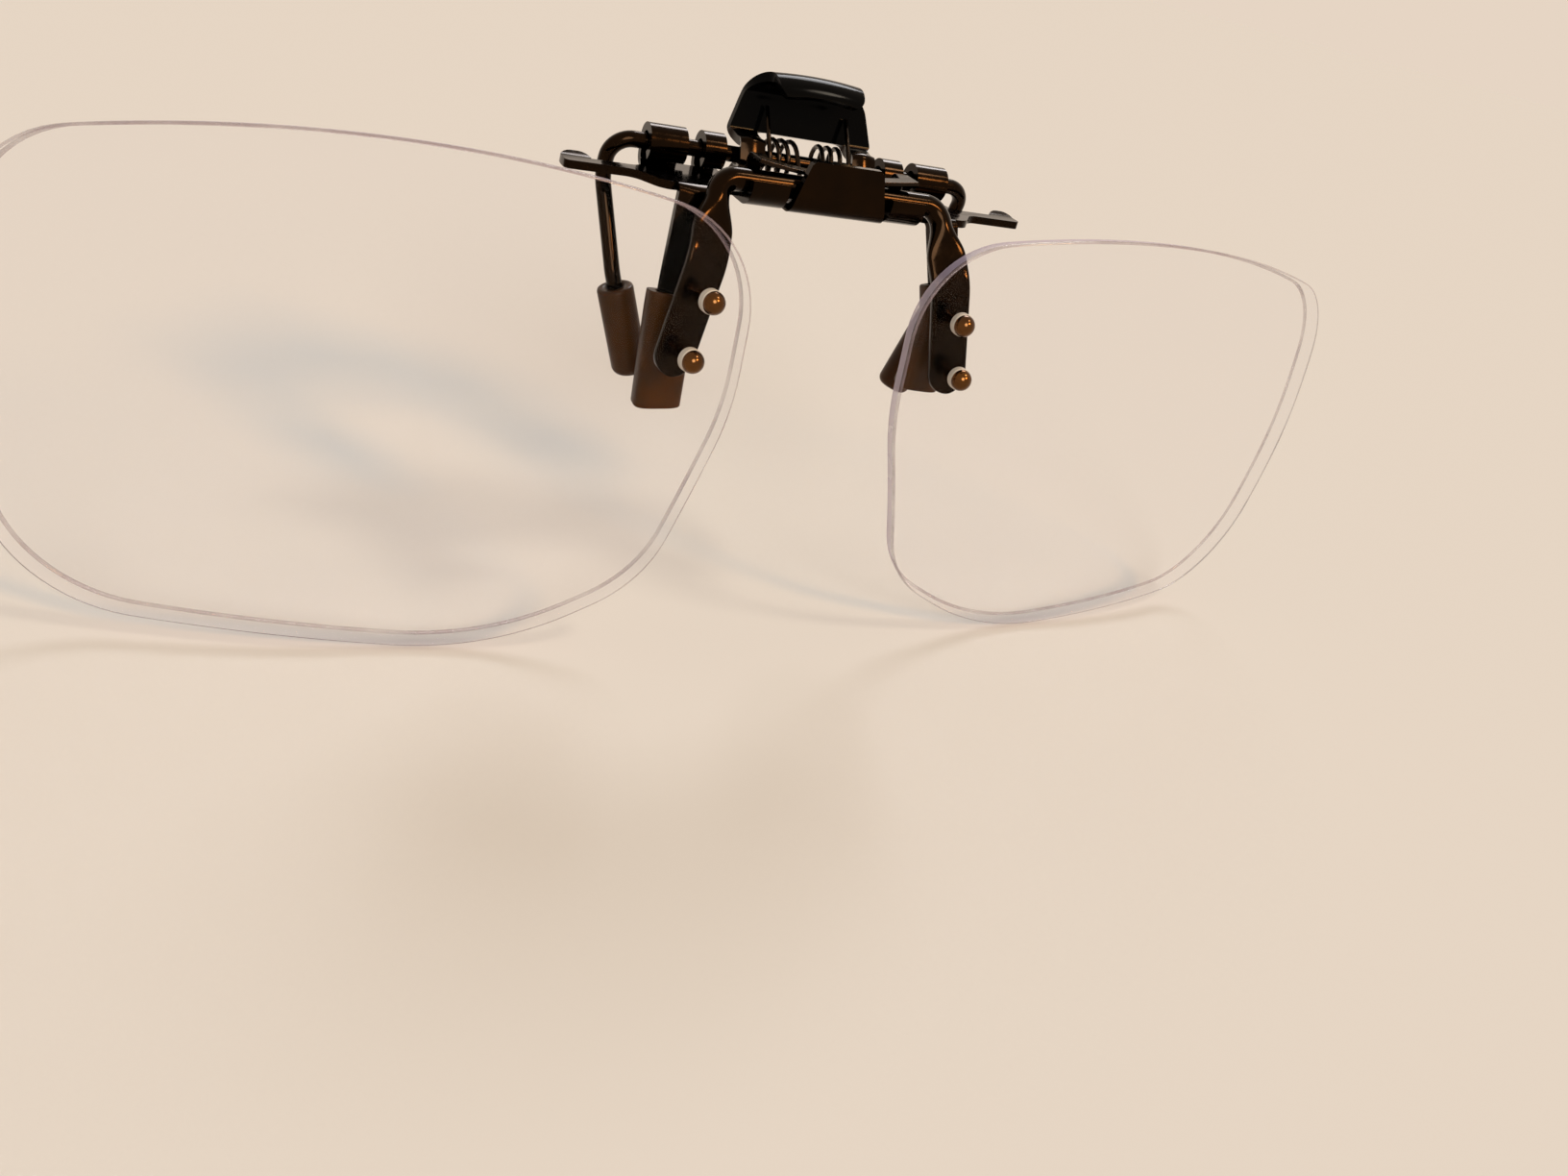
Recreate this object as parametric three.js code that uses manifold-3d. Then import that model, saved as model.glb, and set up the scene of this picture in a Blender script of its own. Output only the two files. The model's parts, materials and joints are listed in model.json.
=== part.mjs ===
// Flip-up clip-on lenses: two rimless lenses on a flip wire, carried by a sprung clip.
// Millimetres. +Z is up, +Y points to the rear (towards the wearer), +X to the right as seen
// from the front. The origin lies on the symmetry plane, at the underside of the clip's plate,
// midway between the front and rear grips.

import * as THREE from 'three';
import { mergeVertices } from 'three/addons/utils/BufferGeometryUtils.js';
import Module from 'manifold-3d';

// Clearances
const RUNNING_GAP = 0.2;
const SEAT_GAP = 0.2;

// Lenses
const LENS_WIDTH = 58;
const LENS_HEIGHT = 43.3;
const LENS_THICKNESS = 1.8;
const LENS_CURVE_RADIUS = 111;
const LENS_WRAP = THREE.MathUtils.degToRad(6.3);
const LENS_BRIDGE = 17;
const LENS_SETBACK = -8.0;
const LENS_DROP = 18.9;
// Corners of the outline as shares of the half width and half height, each with its radius as a
// share of the half height. The first lies over the top edge, and the list runs by the nose, the
// bottom and the temple.
const LENS_CORNERS = [
  [0, 1.091, 4.48],
  [-1, 0.839, 0.453],
  [-0.996, 0.113, 1.155],
  [-0.817, -0.695, 0.554],
  [-0.352, -1.035, 1.293],
  [0.983, -0.912, 0.508],
  [1.001, 0.087, 2.356],
  [0.931, 0.785, 0.439],
];
const LENS_OUTLINE_STEPS = 72;
const LENS_RINGS = 4;

// Rivets that hold each lens to its arm, placed from the lens's nasal edge and its centre line
const RIVET_INSET = 4.3;
const RIVET_RISE = 12.3;
const RIVET_PITCH = 5.1;
const ARM_LEAN = THREE.MathUtils.degToRad(11.3);
const RIVET_SHANK_RADIUS = 0.55;
const RIVET_HEAD_RADIUS = 1.0;
const RIVET_HEAD_HEIGHT = 0.9;
const RIVET_TAIL_RADIUS = 0.9;
const RIVET_TAIL_HEIGHT = 0.45;
const RIVET_TAIL_TAPER = 0.8;
const WASHER_RADIUS = 1.05;
const WASHER_THICKNESS = 0.6;

// Flip wire: a round rod whose two ends are bent down and flattened into the lens arms
const FLIP_WIRE_RADIUS = 1.0;
const FLIP_AXIS_Y = -1.6;
const FLIP_ROD_HALF = 10.7;
const FLIP_BEND_RADIUS = 1.8;
const ARM_BEND_RADIUS = 5;
const ARM_FLATTENING = 3.2;
const ARM_WIDTH = 3.7;
const ARM_ABOVE_RIVET = 2.9;
const ARM_BELOW_RIVET = 2.3;
const ARM_SQUARENESS = 0.35;
const ARM_TIP_SWEEP = THREE.MathUtils.degToRad(83);
const DETENT_FLAT_DEPTH = 0.2;
const DETENT_FLAT_HALF = 3.2;

// Clip bracket: one stamping of sheet metal
const SHEET = 0.7;
const SHEET_BEND = 0.75;
const STRIP_REAR = 3.4;
const STRIP_FRONT = 0.6;
const PLATE_FRONT = -0.3;
const PAD_INNER = 7.9;
const PAD_OUTER = 15.1;
const PAD_SHOULDER_RADIUS = 0.8;
const NOTCH_RADIUS = 0.8;
const RELIEF = 0.4;
const WING_SHOULDER = 1.7;
const WING_REACH = 22.8;
const WING_FRONT = 2.2;
const WING_REAR = 3.7;
const PADDLE_WIDTH = 2.6;
const PADDLE_REAR = 4.7;
const PADDLE_TILT = THREE.MathUtils.degToRad(22);
const PADDLE_RADIUS = 1.2;
const INNER_EAR = [8.0, 10.0];
const OUTER_EAR = [11.6, 15.0];
const EAR_WRAP = THREE.MathUtils.degToRad(235);
const TROUGH = [5.0, 8.4];
const TROUGH_WRAP = THREE.MathUtils.degToRad(105);
const STOP_WALL_FOOT_HALF = 4.7;
const STOP_WALL_TOP_HALF = 3.4;
const STOP_WALL_TOP = 4.6;

// Front legs of the bracket, given on the right-hand side
const LEG_WIDTH = 3.1;
const LEG_TIP_WIDTH = 1.9;
const LEG_X = 12.2;
const LEG_KNEE = new THREE.Vector3(13.7, -3.2, -8.0);
const LEG_FOOT = new THREE.Vector3(13.0, -2.1, -18.6);
const LEG_KNEE_RADIUS = 8;
const LEG_LENGTH = 16.6;

// Jaw wire: the axle and the two rear prongs bent from one wire, given on the right-hand side
const WIRE_RADIUS = 0.7;
const AXLE_Y = 6.0;
const AXLE_Z = 2.3;
const AXLE_HALF = 18.0;
const PRONG_BOW = new THREE.Vector3(18.1, 7.2, -1.0);
const PRONG_KNEE = new THREE.Vector3(17.1, 3.2, -8.6);
const PRONG_FOOT = new THREE.Vector3(14.3, 3.0, -16.8);
const WIRE_BEND_RADIUS = 2.0;
const PRONG_BOW_RADIUS = 3;
const PRONG_KNEE_RADIUS = 2;

// Rubber sleeves. Each front sleeve is pushed on as far as its own slip, measured down the leg.
const SLEEVE_LENGTH = 10.6;
const FRONT_SLEEVE_WIDTH = 4.4;
const FRONT_SLEEVE_DEPTH = 2.4;
const FRONT_SLEEVE_START = { right: 7.2, left: 10.5 };
const SLEEVE_FLOOR = 0.8;
const SLEEVE_SQUARENESS = 0.55;
const REAR_SLEEVE_RADIUS = 1.65;
const REAR_SLEEVE_LENGTH = 8.3;
const REAR_SLEEVE_OVERHANG = 0.9;
const REAR_SLEEVE_ROUND = 0.8;

// Thumb tab, pressed from sheet and crimped on the axle
const TAB_SHEET = 0.8;
const TAB_TOP_HALF = 5.2;
const TAB_SHOULDER_HALF = 7.2;
const TAB_LEG_INNER = 4.5;
const TAB_LEG_OUTER = 6.7;
const TAB_WINDOW_TOP = 1.9;
const TAB_HEIGHT = 7.5;
const TAB_LEAN = 2.2;
const TAB_FOOT_LEAN = 1.5;
const TAB_LIP_RADIUS = 2.0;
const TAB_LIP_ROLL = THREE.MathUtils.degToRad(155);
const TAB_LIP_HALF = 4.6;
const TAB_LIP_CORNER_RADIUS = 1.2;
const TAB_CORNER_RADIUS = 4.5;
const TAB_WINDOW_RADIUS = 0.6;
const TAB_SHOULDER_RADIUS = 1;
const TAB_CRIMP = THREE.MathUtils.degToRad(195);

// Torsion spring with two coils on the axle, joined by a loop that bears on the plate
const SPRING_WIRE_RADIUS = 0.22;
const SPRING_COIL_RADIUS = 1.75;
const SPRING_INNER = 1.3;
const SPRING_OUTER = 4.0;
const SPRING_TURNS = 3;
const SPRING_LEG_ANGLE = THREE.MathUtils.degToRad(141);
const SPRING_LOOP_ANGLE = THREE.MathUtils.degToRad(135);
const SPRING_LOOP_Y = 1.4;
const SPRING_BEND_RADIUS = 0.5;

// Leaf spring that bears on the flats of the flip wire
const LEAF_SHEET = 0.35;
const LEAF_HALF = 7.7;
const LEAF_FRONT = -2.3;
const LEAF_REAR = -0.9;
const LEAF_RISE = 0.6;
const LEAF_LEG_WIDTH = 1.3;
const LEAF_LEG_Y = 0.6;

const CURVE_STEPS = 6;
const WIRE_SIDES = 12;
const FLATTENING_STEPS = 3;
const SPRING_SIDES = 5;
const SPRING_STEPS_PER_TURN = 8;
const SPRING_BEND_STEPS = 3;
const RIVET_DOME_STEPS = 3;
const SLEEVE_SIDES = 16;
const MERGE_DISTANCE = 1e-3;

const troughRadius = FLIP_WIRE_RADIUS + RUNNING_GAP + SHEET / 2;
const FLIP_AXIS_Z = SHEET / 2 + troughRadius;
const earRadius = WIRE_RADIUS + RUNNING_GAP + SHEET / 2;
const stripThickness = Math.PI * FLIP_WIRE_RADIUS ** 2 / ARM_WIDTH;

const wasm = await Module();
wasm.setup();

function toSolid(geometry) {
  const bare = geometry.clone();
  bare.deleteAttribute('normal');
  bare.deleteAttribute('uv');
  const merged = mergeVertices(bare, MERGE_DISTANCE / 10);
  return new wasm.Manifold(new wasm.Mesh({
    numProp: 3,
    vertProperties: new Float32Array(merged.attributes.position.array),
    triVerts: new Uint32Array(merged.index.array),
  }));
}

function toGeometry(solid) {
  const mesh = solid.getMesh();
  const geometry = new THREE.BufferGeometry();
  geometry.setAttribute('position', new THREE.BufferAttribute(new Float32Array(mesh.vertProperties), 3));
  geometry.setIndex(new THREE.BufferAttribute(new Uint32Array(mesh.triVerts), 1));
  geometry.computeVertexNormals();
  return geometry;
}

function joined(solids) {
  return solids.reduce((whole, piece) => whole.add(piece));
}

// The points without those that fall on the one before.
function apart(points) {
  return points.filter((p, i) => i === 0 || p.distanceTo(points[i - 1]) > MERGE_DISTANCE);
}

// Closed outline with a rounded corner at each [x, y, radius].
function roundedShape(corners) {
  const shape = new THREE.Shape();
  corners.forEach(([x, y, radius], i) => {
    const corner = new THREE.Vector2(x, y);
    const [beforeX, beforeY] = corners[(i + corners.length - 1) % corners.length];
    const [afterX, afterY] = corners[(i + 1) % corners.length];
    const back = new THREE.Vector2(beforeX, beforeY).sub(corner).normalize();
    const on = new THREE.Vector2(afterX, afterY).sub(corner).normalize();
    if (radius === 0) {
      if (i === 0) shape.moveTo(x, y);
      else shape.lineTo(x, y);
      return;
    }
    const half = Math.acos(back.dot(on)) / 2;
    const start = corner.clone().addScaledVector(back, radius / Math.tan(half));
    const end = corner.clone().addScaledVector(on, radius / Math.tan(half));
    const inward = back.clone().add(on).normalize();
    const centre = corner.clone().addScaledVector(inward, radius / Math.sin(half));
    const clockwise = back.cross(on) > 0;
    if (i === 0) shape.moveTo(start.x, start.y);
    const startAngle = start.sub(centre).angle();
    const endAngle = end.sub(centre).angle();
    shape.absarc(centre.x, centre.y, radius, startAngle, endAngle, clockwise);
  });
  shape.closePath();
  return shape;
}

// Outline of a sheet of even thickness whose middle follows a path, mitred at every point.
function sheetShape(path, thickness) {
  const points = apart(path.getPoints(CURVE_STEPS));
  const normals = points.slice(1).map((p, i) => {
    const along = p.clone().sub(points[i]).normalize();
    return new THREE.Vector2(-along.y, along.x);
  });
  const side = (sign) => points.map((p, i) => {
    const before = normals[Math.max(i - 1, 0)];
    const after = normals[Math.min(i, normals.length - 1)];
    const mitre = before.clone().add(after).divideScalar(1 + before.dot(after));
    return p.clone().addScaledVector(mitre, sign * thickness / 2);
  });
  return new THREE.Shape([...side(-1), ...side(1).reverse()]);
}

function extruded(shape, depth) {
  return new THREE.ExtrudeGeometry(shape, { depth, bevelEnabled: false, curveSegments: CURVE_STEPS });
}

// A shape drawn in Y and Z, extruded along X.
function alongX(shape, [from, to]) {
  const axes = new THREE.Matrix4().makeBasis(
    new THREE.Vector3(0, 1, 0), new THREE.Vector3(0, 0, 1), new THREE.Vector3(1, 0, 0));
  return extruded(shape, to - from).applyMatrix4(axes).translate(from, 0, 0);
}

// A shape drawn in X and Z, extruded along Y.
function alongY(shape, [from, to]) {
  const axes = new THREE.Matrix4().makeBasis(
    new THREE.Vector3(1, 0, 0), new THREE.Vector3(0, 0, 1), new THREE.Vector3(0, -1, 0));
  return extruded(shape, to - from).applyMatrix4(axes).translate(0, to, 0);
}

function alongZ(shape, [from, to]) {
  return extruded(shape, to - from).translate(0, 0, from);
}

// Skin over a row of rings of equal count, closed by a fan at each end and facing outwards.
function loft(rings) {
  const count = rings[0].length;
  const middle = (ring) => ring.reduce((sum, p) => sum.add(p), new THREE.Vector3()).divideScalar(count);
  const points = [...rings.flat(), middle(rings[0]), middle(rings.at(-1))];
  const firstMiddle = rings.length * count;
  const lastRing = (rings.length - 1) * count;
  const index = [];
  for (let k = 0; k < count; k++) {
    const next = (k + 1) % count;
    for (let base = 0; base < lastRing; base += count) {
      index.push(base + k, base + next, base + count + next);
      index.push(base + k, base + count + next, base + count + k);
    }
    index.push(firstMiddle, next, k);
    index.push(firstMiddle + 1, lastRing + k, lastRing + next);
  }
  let volume = 0;
  for (let i = 0; i < index.length; i += 3) {
    volume += points[index[i]].dot(points[index[i + 1]].clone().cross(points[index[i + 2]]));
  }
  if (volume < 0) index.reverse();
  const geometry = new THREE.BufferGeometry().setFromPoints(points);
  geometry.setIndex(index);
  geometry.computeVertexNormals();
  return geometry;
}

// Points along straight runs between corners, with each inner corner rounded to its radius.
function bentPath(corners, radii, steps = CURVE_STEPS) {
  const points = [corners[0].clone()];
  for (let i = 1; i < corners.length - 1; i++) {
    const back = corners[i - 1].clone().sub(corners[i]).normalize();
    const on = corners[i + 1].clone().sub(corners[i]).normalize();
    const half = back.angleTo(on) / 2;
    const setback = radii[i - 1] / Math.tan(half);
    const inward = back.clone().add(on).normalize();
    const centre = corners[i].clone().addScaledVector(inward, radii[i - 1] / Math.sin(half));
    const start = corners[i].clone().addScaledVector(back, setback).sub(centre);
    const turn = Math.PI - 2 * half;
    const axis = back.clone().negate().cross(on).normalize();
    for (let k = 0; k <= steps; k++) {
      points.push(start.clone().applyAxisAngle(axis, turn * k / steps).add(centre));
    }
  }
  points.push(corners.at(-1).clone());
  return points;
}

function tangentAt(points, i) {
  const before = points[Math.max(i - 1, 0)].clone().sub(points[i]).normalize();
  const after = points[Math.min(i + 1, points.length - 1)].clone().sub(points[i]).normalize();
  return after.sub(before).normalize();
}

// How much longer a section is across a bend than square to the runs beside it.
function mitreAt(points, i) {
  if (i === 0 || i === points.length - 1) return 1;
  const after = points[i + 1].clone().sub(points[i]).normalize();
  return 1 / after.dot(tangentAt(points, i));
}

// Ring of a section with half sizes across and deep. A squareness of 1 is round, towards 0 square.
function sectionRing(centre, tangent, acrossHint, across, deep, squareness, sides) {
  const sideways = acrossHint.clone().addScaledVector(tangent, -acrossHint.dot(tangent)).normalize();
  const outward = tangent.clone().cross(sideways);
  return Array.from({ length: sides }, (_, k) => {
    const angle = (k + 0.5) / sides * 2 * Math.PI;
    const u = Math.sign(Math.cos(angle)) * Math.abs(Math.cos(angle)) ** squareness;
    const v = Math.sign(Math.sin(angle)) * Math.abs(Math.sin(angle)) ** squareness;
    return centre.clone().addScaledVector(sideways, u * across).addScaledVector(outward, v * deep);
  });
}

// Round tube through points. Its rings turn with the path and don't twist.
function tube(points, radius, sides) {
  let hint = new THREE.Vector3(0.3, 0.5, 0.8);
  const rings = points.map((point, i) => {
    const tangent = tangentAt(points, i);
    hint = hint.clone().addScaledVector(tangent, -hint.dot(tangent)).normalize();
    return sectionRing(point, tangent, hint, radius, radius, 1, sides);
  });
  return loft(rings);
}

function mirrored(geometry) {
  const copy = (geometry.index ? geometry : mergeVertices(geometry)).clone();
  copy.scale(-1, 1, 1);
  copy.setIndex(new THREE.BufferAttribute(copy.index.array.slice().reverse(), 1));
  copy.computeVertexNormals();
  return copy;
}

// Part of a path between two distances from its start, with the path's own points between them.
function stretch(points, from, to) {
  const part = [];
  let walked = 0;
  for (let i = 1; i < points.length; i++) {
    const step = points[i].distanceTo(points[i - 1]);
    const between = (distance) => points[i - 1].clone().lerp(points[i], (distance - walked) / step);
    if (walked <= from && from < walked + step) part.push(between(from));
    if (from < walked + step && walked + step < to) part.push(points[i].clone());
    if (walked < to && to <= walked + step) part.push(between(to));
    walked += step;
  }
  return part;
}

// Place on the right lens's middle surface, from its centre: along it, up it, and in front of it.
function onLens(along, up, ahead) {
  const sag = LENS_CURVE_RADIUS - Math.sqrt(LENS_CURVE_RADIUS ** 2 - along ** 2 - up ** 2);
  const normal = lensNormal(along, up);
  const local = new THREE.Vector3(along, sag, up).addScaledVector(normal, ahead);
  return local.applyAxisAngle(new THREE.Vector3(0, 0, 1), LENS_WRAP).add(lensCentre());
}

function lensNormal(along, up) {
  const depth = Math.sqrt(LENS_CURVE_RADIUS ** 2 - along ** 2 - up ** 2);
  return new THREE.Vector3(along, -depth, up).normalize();
}

function lensCentre() {
  const reach = LENS_BRIDGE / 2 + LENS_WIDTH / 2 * Math.cos(LENS_WRAP);
  return new THREE.Vector3(reach, LENS_SETBACK, -LENS_DROP);
}

// Places of the two rivets on the right lens, and the frame of the arm's flat end: its own
// directions down the arm, across it and out of its front.
const rivetSpots = [0, 1].map((k) => new THREE.Vector2(
  RIVET_INSET - LENS_WIDTH / 2 + k * RIVET_PITCH * Math.sin(ARM_LEAN),
  RIVET_RISE - k * RIVET_PITCH * Math.cos(ARM_LEAN)));
const rivetPoints = rivetSpots.map((spot) => onLens(spot.x, spot.y, 0));
const armMiddle = rivetPoints[0].clone().lerp(rivetPoints[1], 0.5);
const armDown = rivetPoints[1].clone().sub(rivetPoints[0]).normalize();
const spotMiddle = rivetSpots[0].clone().lerp(rivetSpots[1], 0.5);
const lensFacing = lensNormal(spotMiddle.x, spotMiddle.y)
  .applyAxisAngle(new THREE.Vector3(0, 0, 1), LENS_WRAP);
const armAcross = lensFacing.clone().cross(armDown).normalize();
const armFront = armDown.clone().cross(armAcross).normalize();

// Place along the rivets' own line, ahead of the lens's middle surface.
function onArm(down, ahead) {
  return armMiddle.clone().addScaledVector(armDown, down).addScaledVector(armFront, ahead);
}

function rivetHole(down, radius) {
  const reach = 2 * (LENS_THICKNESS + stripThickness + SEAT_GAP);
  const hole = new THREE.CylinderGeometry(radius, radius, reach, WIRE_SIDES + 2);
  return hole.applyMatrix4(rivetPlacement(down));
}

function rivetPlacement(down) {
  const turn = new THREE.Quaternion().setFromUnitVectors(new THREE.Vector3(0, 1, 0), armFront);
  return new THREE.Matrix4().compose(onArm(down, 0), turn, new THREE.Vector3(1, 1, 1));
}

const rivetDowns = [-RIVET_PITCH / 2, RIVET_PITCH / 2];
const armAhead = -(LENS_THICKNESS / 2 + SEAT_GAP + stripThickness / 2);

function lens() {
  const halfWidth = LENS_WIDTH / 2;
  const halfHeight = LENS_HEIGHT / 2;
  const corners = LENS_CORNERS.map(([x, y, radius]) => [
    x * halfWidth, y * halfHeight, radius * halfHeight]);
  const outline = roundedShape(corners).getSpacedPoints(LENS_OUTLINE_STEPS).slice(0, -1);
  const ring = (share, ahead) => outline.map((p) => onLens(p.x * share, p.y * share, ahead));
  const shares = Array.from({ length: LENS_RINGS }, (_, k) => (k + 1) / LENS_RINGS);
  const half = LENS_THICKNESS / 2;
  const front = shares.map((share) => ring(share, half));
  const back = shares.map((share) => ring(share, -half)).reverse();
  const blank = toSolid(loft([...front, ...back]));
  const holes = rivetDowns.map((down) => toSolid(rivetHole(down, RIVET_SHANK_RADIUS + SEAT_GAP)));
  return toGeometry(blank.subtract(joined(holes)));
}

// Rivet on its own axis, the domed head in front and the set tail behind the arm.
function rivet() {
  const headBase = LENS_THICKNESS / 2 + WASHER_THICKNESS + 2 * SEAT_GAP;
  const tailBase = armAhead - stripThickness / 2 - SEAT_GAP;
  const profile = new THREE.Path();
  profile.moveTo(0, tailBase - RIVET_TAIL_HEIGHT);
  profile.lineTo(RIVET_TAIL_RADIUS * RIVET_TAIL_TAPER, tailBase - RIVET_TAIL_HEIGHT);
  profile.lineTo(RIVET_TAIL_RADIUS, tailBase);
  profile.lineTo(RIVET_SHANK_RADIUS, tailBase);
  profile.lineTo(RIVET_SHANK_RADIUS, headBase);
  profile.lineTo(RIVET_HEAD_RADIUS, headBase);
  profile.absellipse(0, headBase, RIVET_HEAD_RADIUS, RIVET_HEAD_HEIGHT, 0, Math.PI / 2, false, 0);
  const points = apart(profile.getPoints(RIVET_DOME_STEPS));
  points.at(-1).x = 0;
  return new THREE.LatheGeometry(points, WIRE_SIDES + 2);
}

function washer() {
  const bore = RIVET_SHANK_RADIUS + SEAT_GAP;
  const base = LENS_THICKNESS / 2 + SEAT_GAP;
  const profile = [
    new THREE.Vector2(bore, base),
    new THREE.Vector2(WASHER_RADIUS, base),
    new THREE.Vector2(WASHER_RADIUS, base + WASHER_THICKNESS),
    new THREE.Vector2(bore, base + WASHER_THICKNESS),
    new THREE.Vector2(bore, base),
  ];
  return new THREE.LatheGeometry(profile, WIRE_SIDES + 2);
}

// The rod in the middle, then on each side a bend, the flattening arm and its rounded flat end.
function flipWire() {
  const rodEnd = new THREE.Vector3(FLIP_ROD_HALF, FLIP_AXIS_Y, FLIP_AXIS_Z);
  const rodStart = new THREE.Vector3(0, FLIP_AXIS_Y, FLIP_AXIS_Z);
  const armTop = onArm(-RIVET_PITCH / 2 - ARM_ABOVE_RIVET, armAhead);
  const armEnd = onArm(RIVET_PITCH / 2 + ARM_BELOW_RIVET, armAhead);
  const corners = bentPath([rodStart, rodEnd, armTop, armEnd], [FLIP_BEND_RADIUS, ARM_BEND_RADIUS]);
  const bendEnd = CURVE_STEPS + 1;
  const run = corners[bendEnd + 1].clone().sub(corners[bendEnd]).normalize();
  const flattening = Array.from({ length: FLATTENING_STEPS }, (_, k) => corners[bendEnd].clone()
    .addScaledVector(run, ARM_FLATTENING * (k + 1) / FLATTENING_STEPS));
  const bent = [...corners.slice(0, bendEnd + 1), ...flattening, ...corners.slice(bendEnd + 1)];
  const flatFrom = bendEnd;
  const flatTo = bendEnd + flattening.length;
  const up = new THREE.Vector3(0, 0, 1);
  const rings = [];
  const halfWidth = ARM_WIDTH / 2;
  bent.slice(0, -1).forEach((point, i) => {
    const flattened = THREE.MathUtils.smoothstep(i, flatFrom, flatTo);
    const hint = up.clone().lerp(armAcross, THREE.MathUtils.clamp(i / flatFrom, 0, 1));
    rings.push(sectionRing(point, tangentAt(bent, i), hint,
      THREE.MathUtils.lerp(FLIP_WIRE_RADIUS, halfWidth, flattened),
      THREE.MathUtils.lerp(FLIP_WIRE_RADIUS, stripThickness / 2, flattened),
      THREE.MathUtils.lerp(1, ARM_SQUARENESS, flattened), WIRE_SIDES + 2));
  });
  for (let k = 0; k <= CURVE_STEPS; k++) {
    const angle = k / CURVE_STEPS * ARM_TIP_SWEEP;
    const point = armEnd.clone().addScaledVector(armDown, halfWidth * (Math.sin(angle) - 1));
    rings.push(sectionRing(point, armDown, armAcross, halfWidth * Math.cos(angle),
      stripThickness / 2, ARM_SQUARENESS, WIRE_SIDES + 2));
  }
  const right = toSolid(loft(rings));
  const left = toSolid(mirrored(loft(rings)));
  const holes = rivetDowns.flatMap((down) => {
    const hole = rivetHole(down, RIVET_SHANK_RADIUS + SEAT_GAP);
    return [toSolid(hole), toSolid(mirrored(hole))];
  });
  const flat = FLIP_WIRE_RADIUS - DETENT_FLAT_DEPTH;
  const chip = new THREE.BoxGeometry(2 * DETENT_FLAT_HALF, 4 * FLIP_WIRE_RADIUS, 2 * FLIP_WIRE_RADIUS);
  const topChip = chip.clone().translate(0, FLIP_AXIS_Y, FLIP_AXIS_Z + flat + FLIP_WIRE_RADIUS);
  const frontChip = chip.clone().rotateX(Math.PI / 2)
    .translate(0, FLIP_AXIS_Y - flat - FLIP_WIRE_RADIUS, FLIP_AXIS_Z);
  const cuts = joined([...holes, toSolid(topChip), toSolid(frontChip)]);
  return toGeometry(joined([right, left]).subtract(cuts));
}

// Middle line of a front leg, from inside the plate to the far end of the lower sleeve.
function legPath() {
  const root = new THREE.Vector3(LEG_X, STRIP_FRONT + SHEET, SHEET / 2);
  const edge = new THREE.Vector3(LEG_X, PLATE_FRONT - SHEET / 2, SHEET / 2);
  return bentPath([root, edge, LEG_KNEE, LEG_FOOT], [SHEET_BEND, LEG_KNEE_RADIUS]);
}

const alongAxle = new THREE.Vector3(1, 0, 0);

function legHalfWidth(point) {
  const share = Math.max(0, point.z / LEG_FOOT.z);
  return THREE.MathUtils.lerp(LEG_WIDTH, LEG_TIP_WIDTH, share) / 2;
}

function leg() {
  const path = stretch(legPath(), 0, LEG_LENGTH);
  const rings = path.map((point, i) => sectionRing(point, tangentAt(path, i), alongAxle,
    legHalfWidth(point) * Math.SQRT2, SHEET / 2 * Math.SQRT2 * mitreAt(path, i), 1, 4));
  return loft(rings);
}

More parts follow.
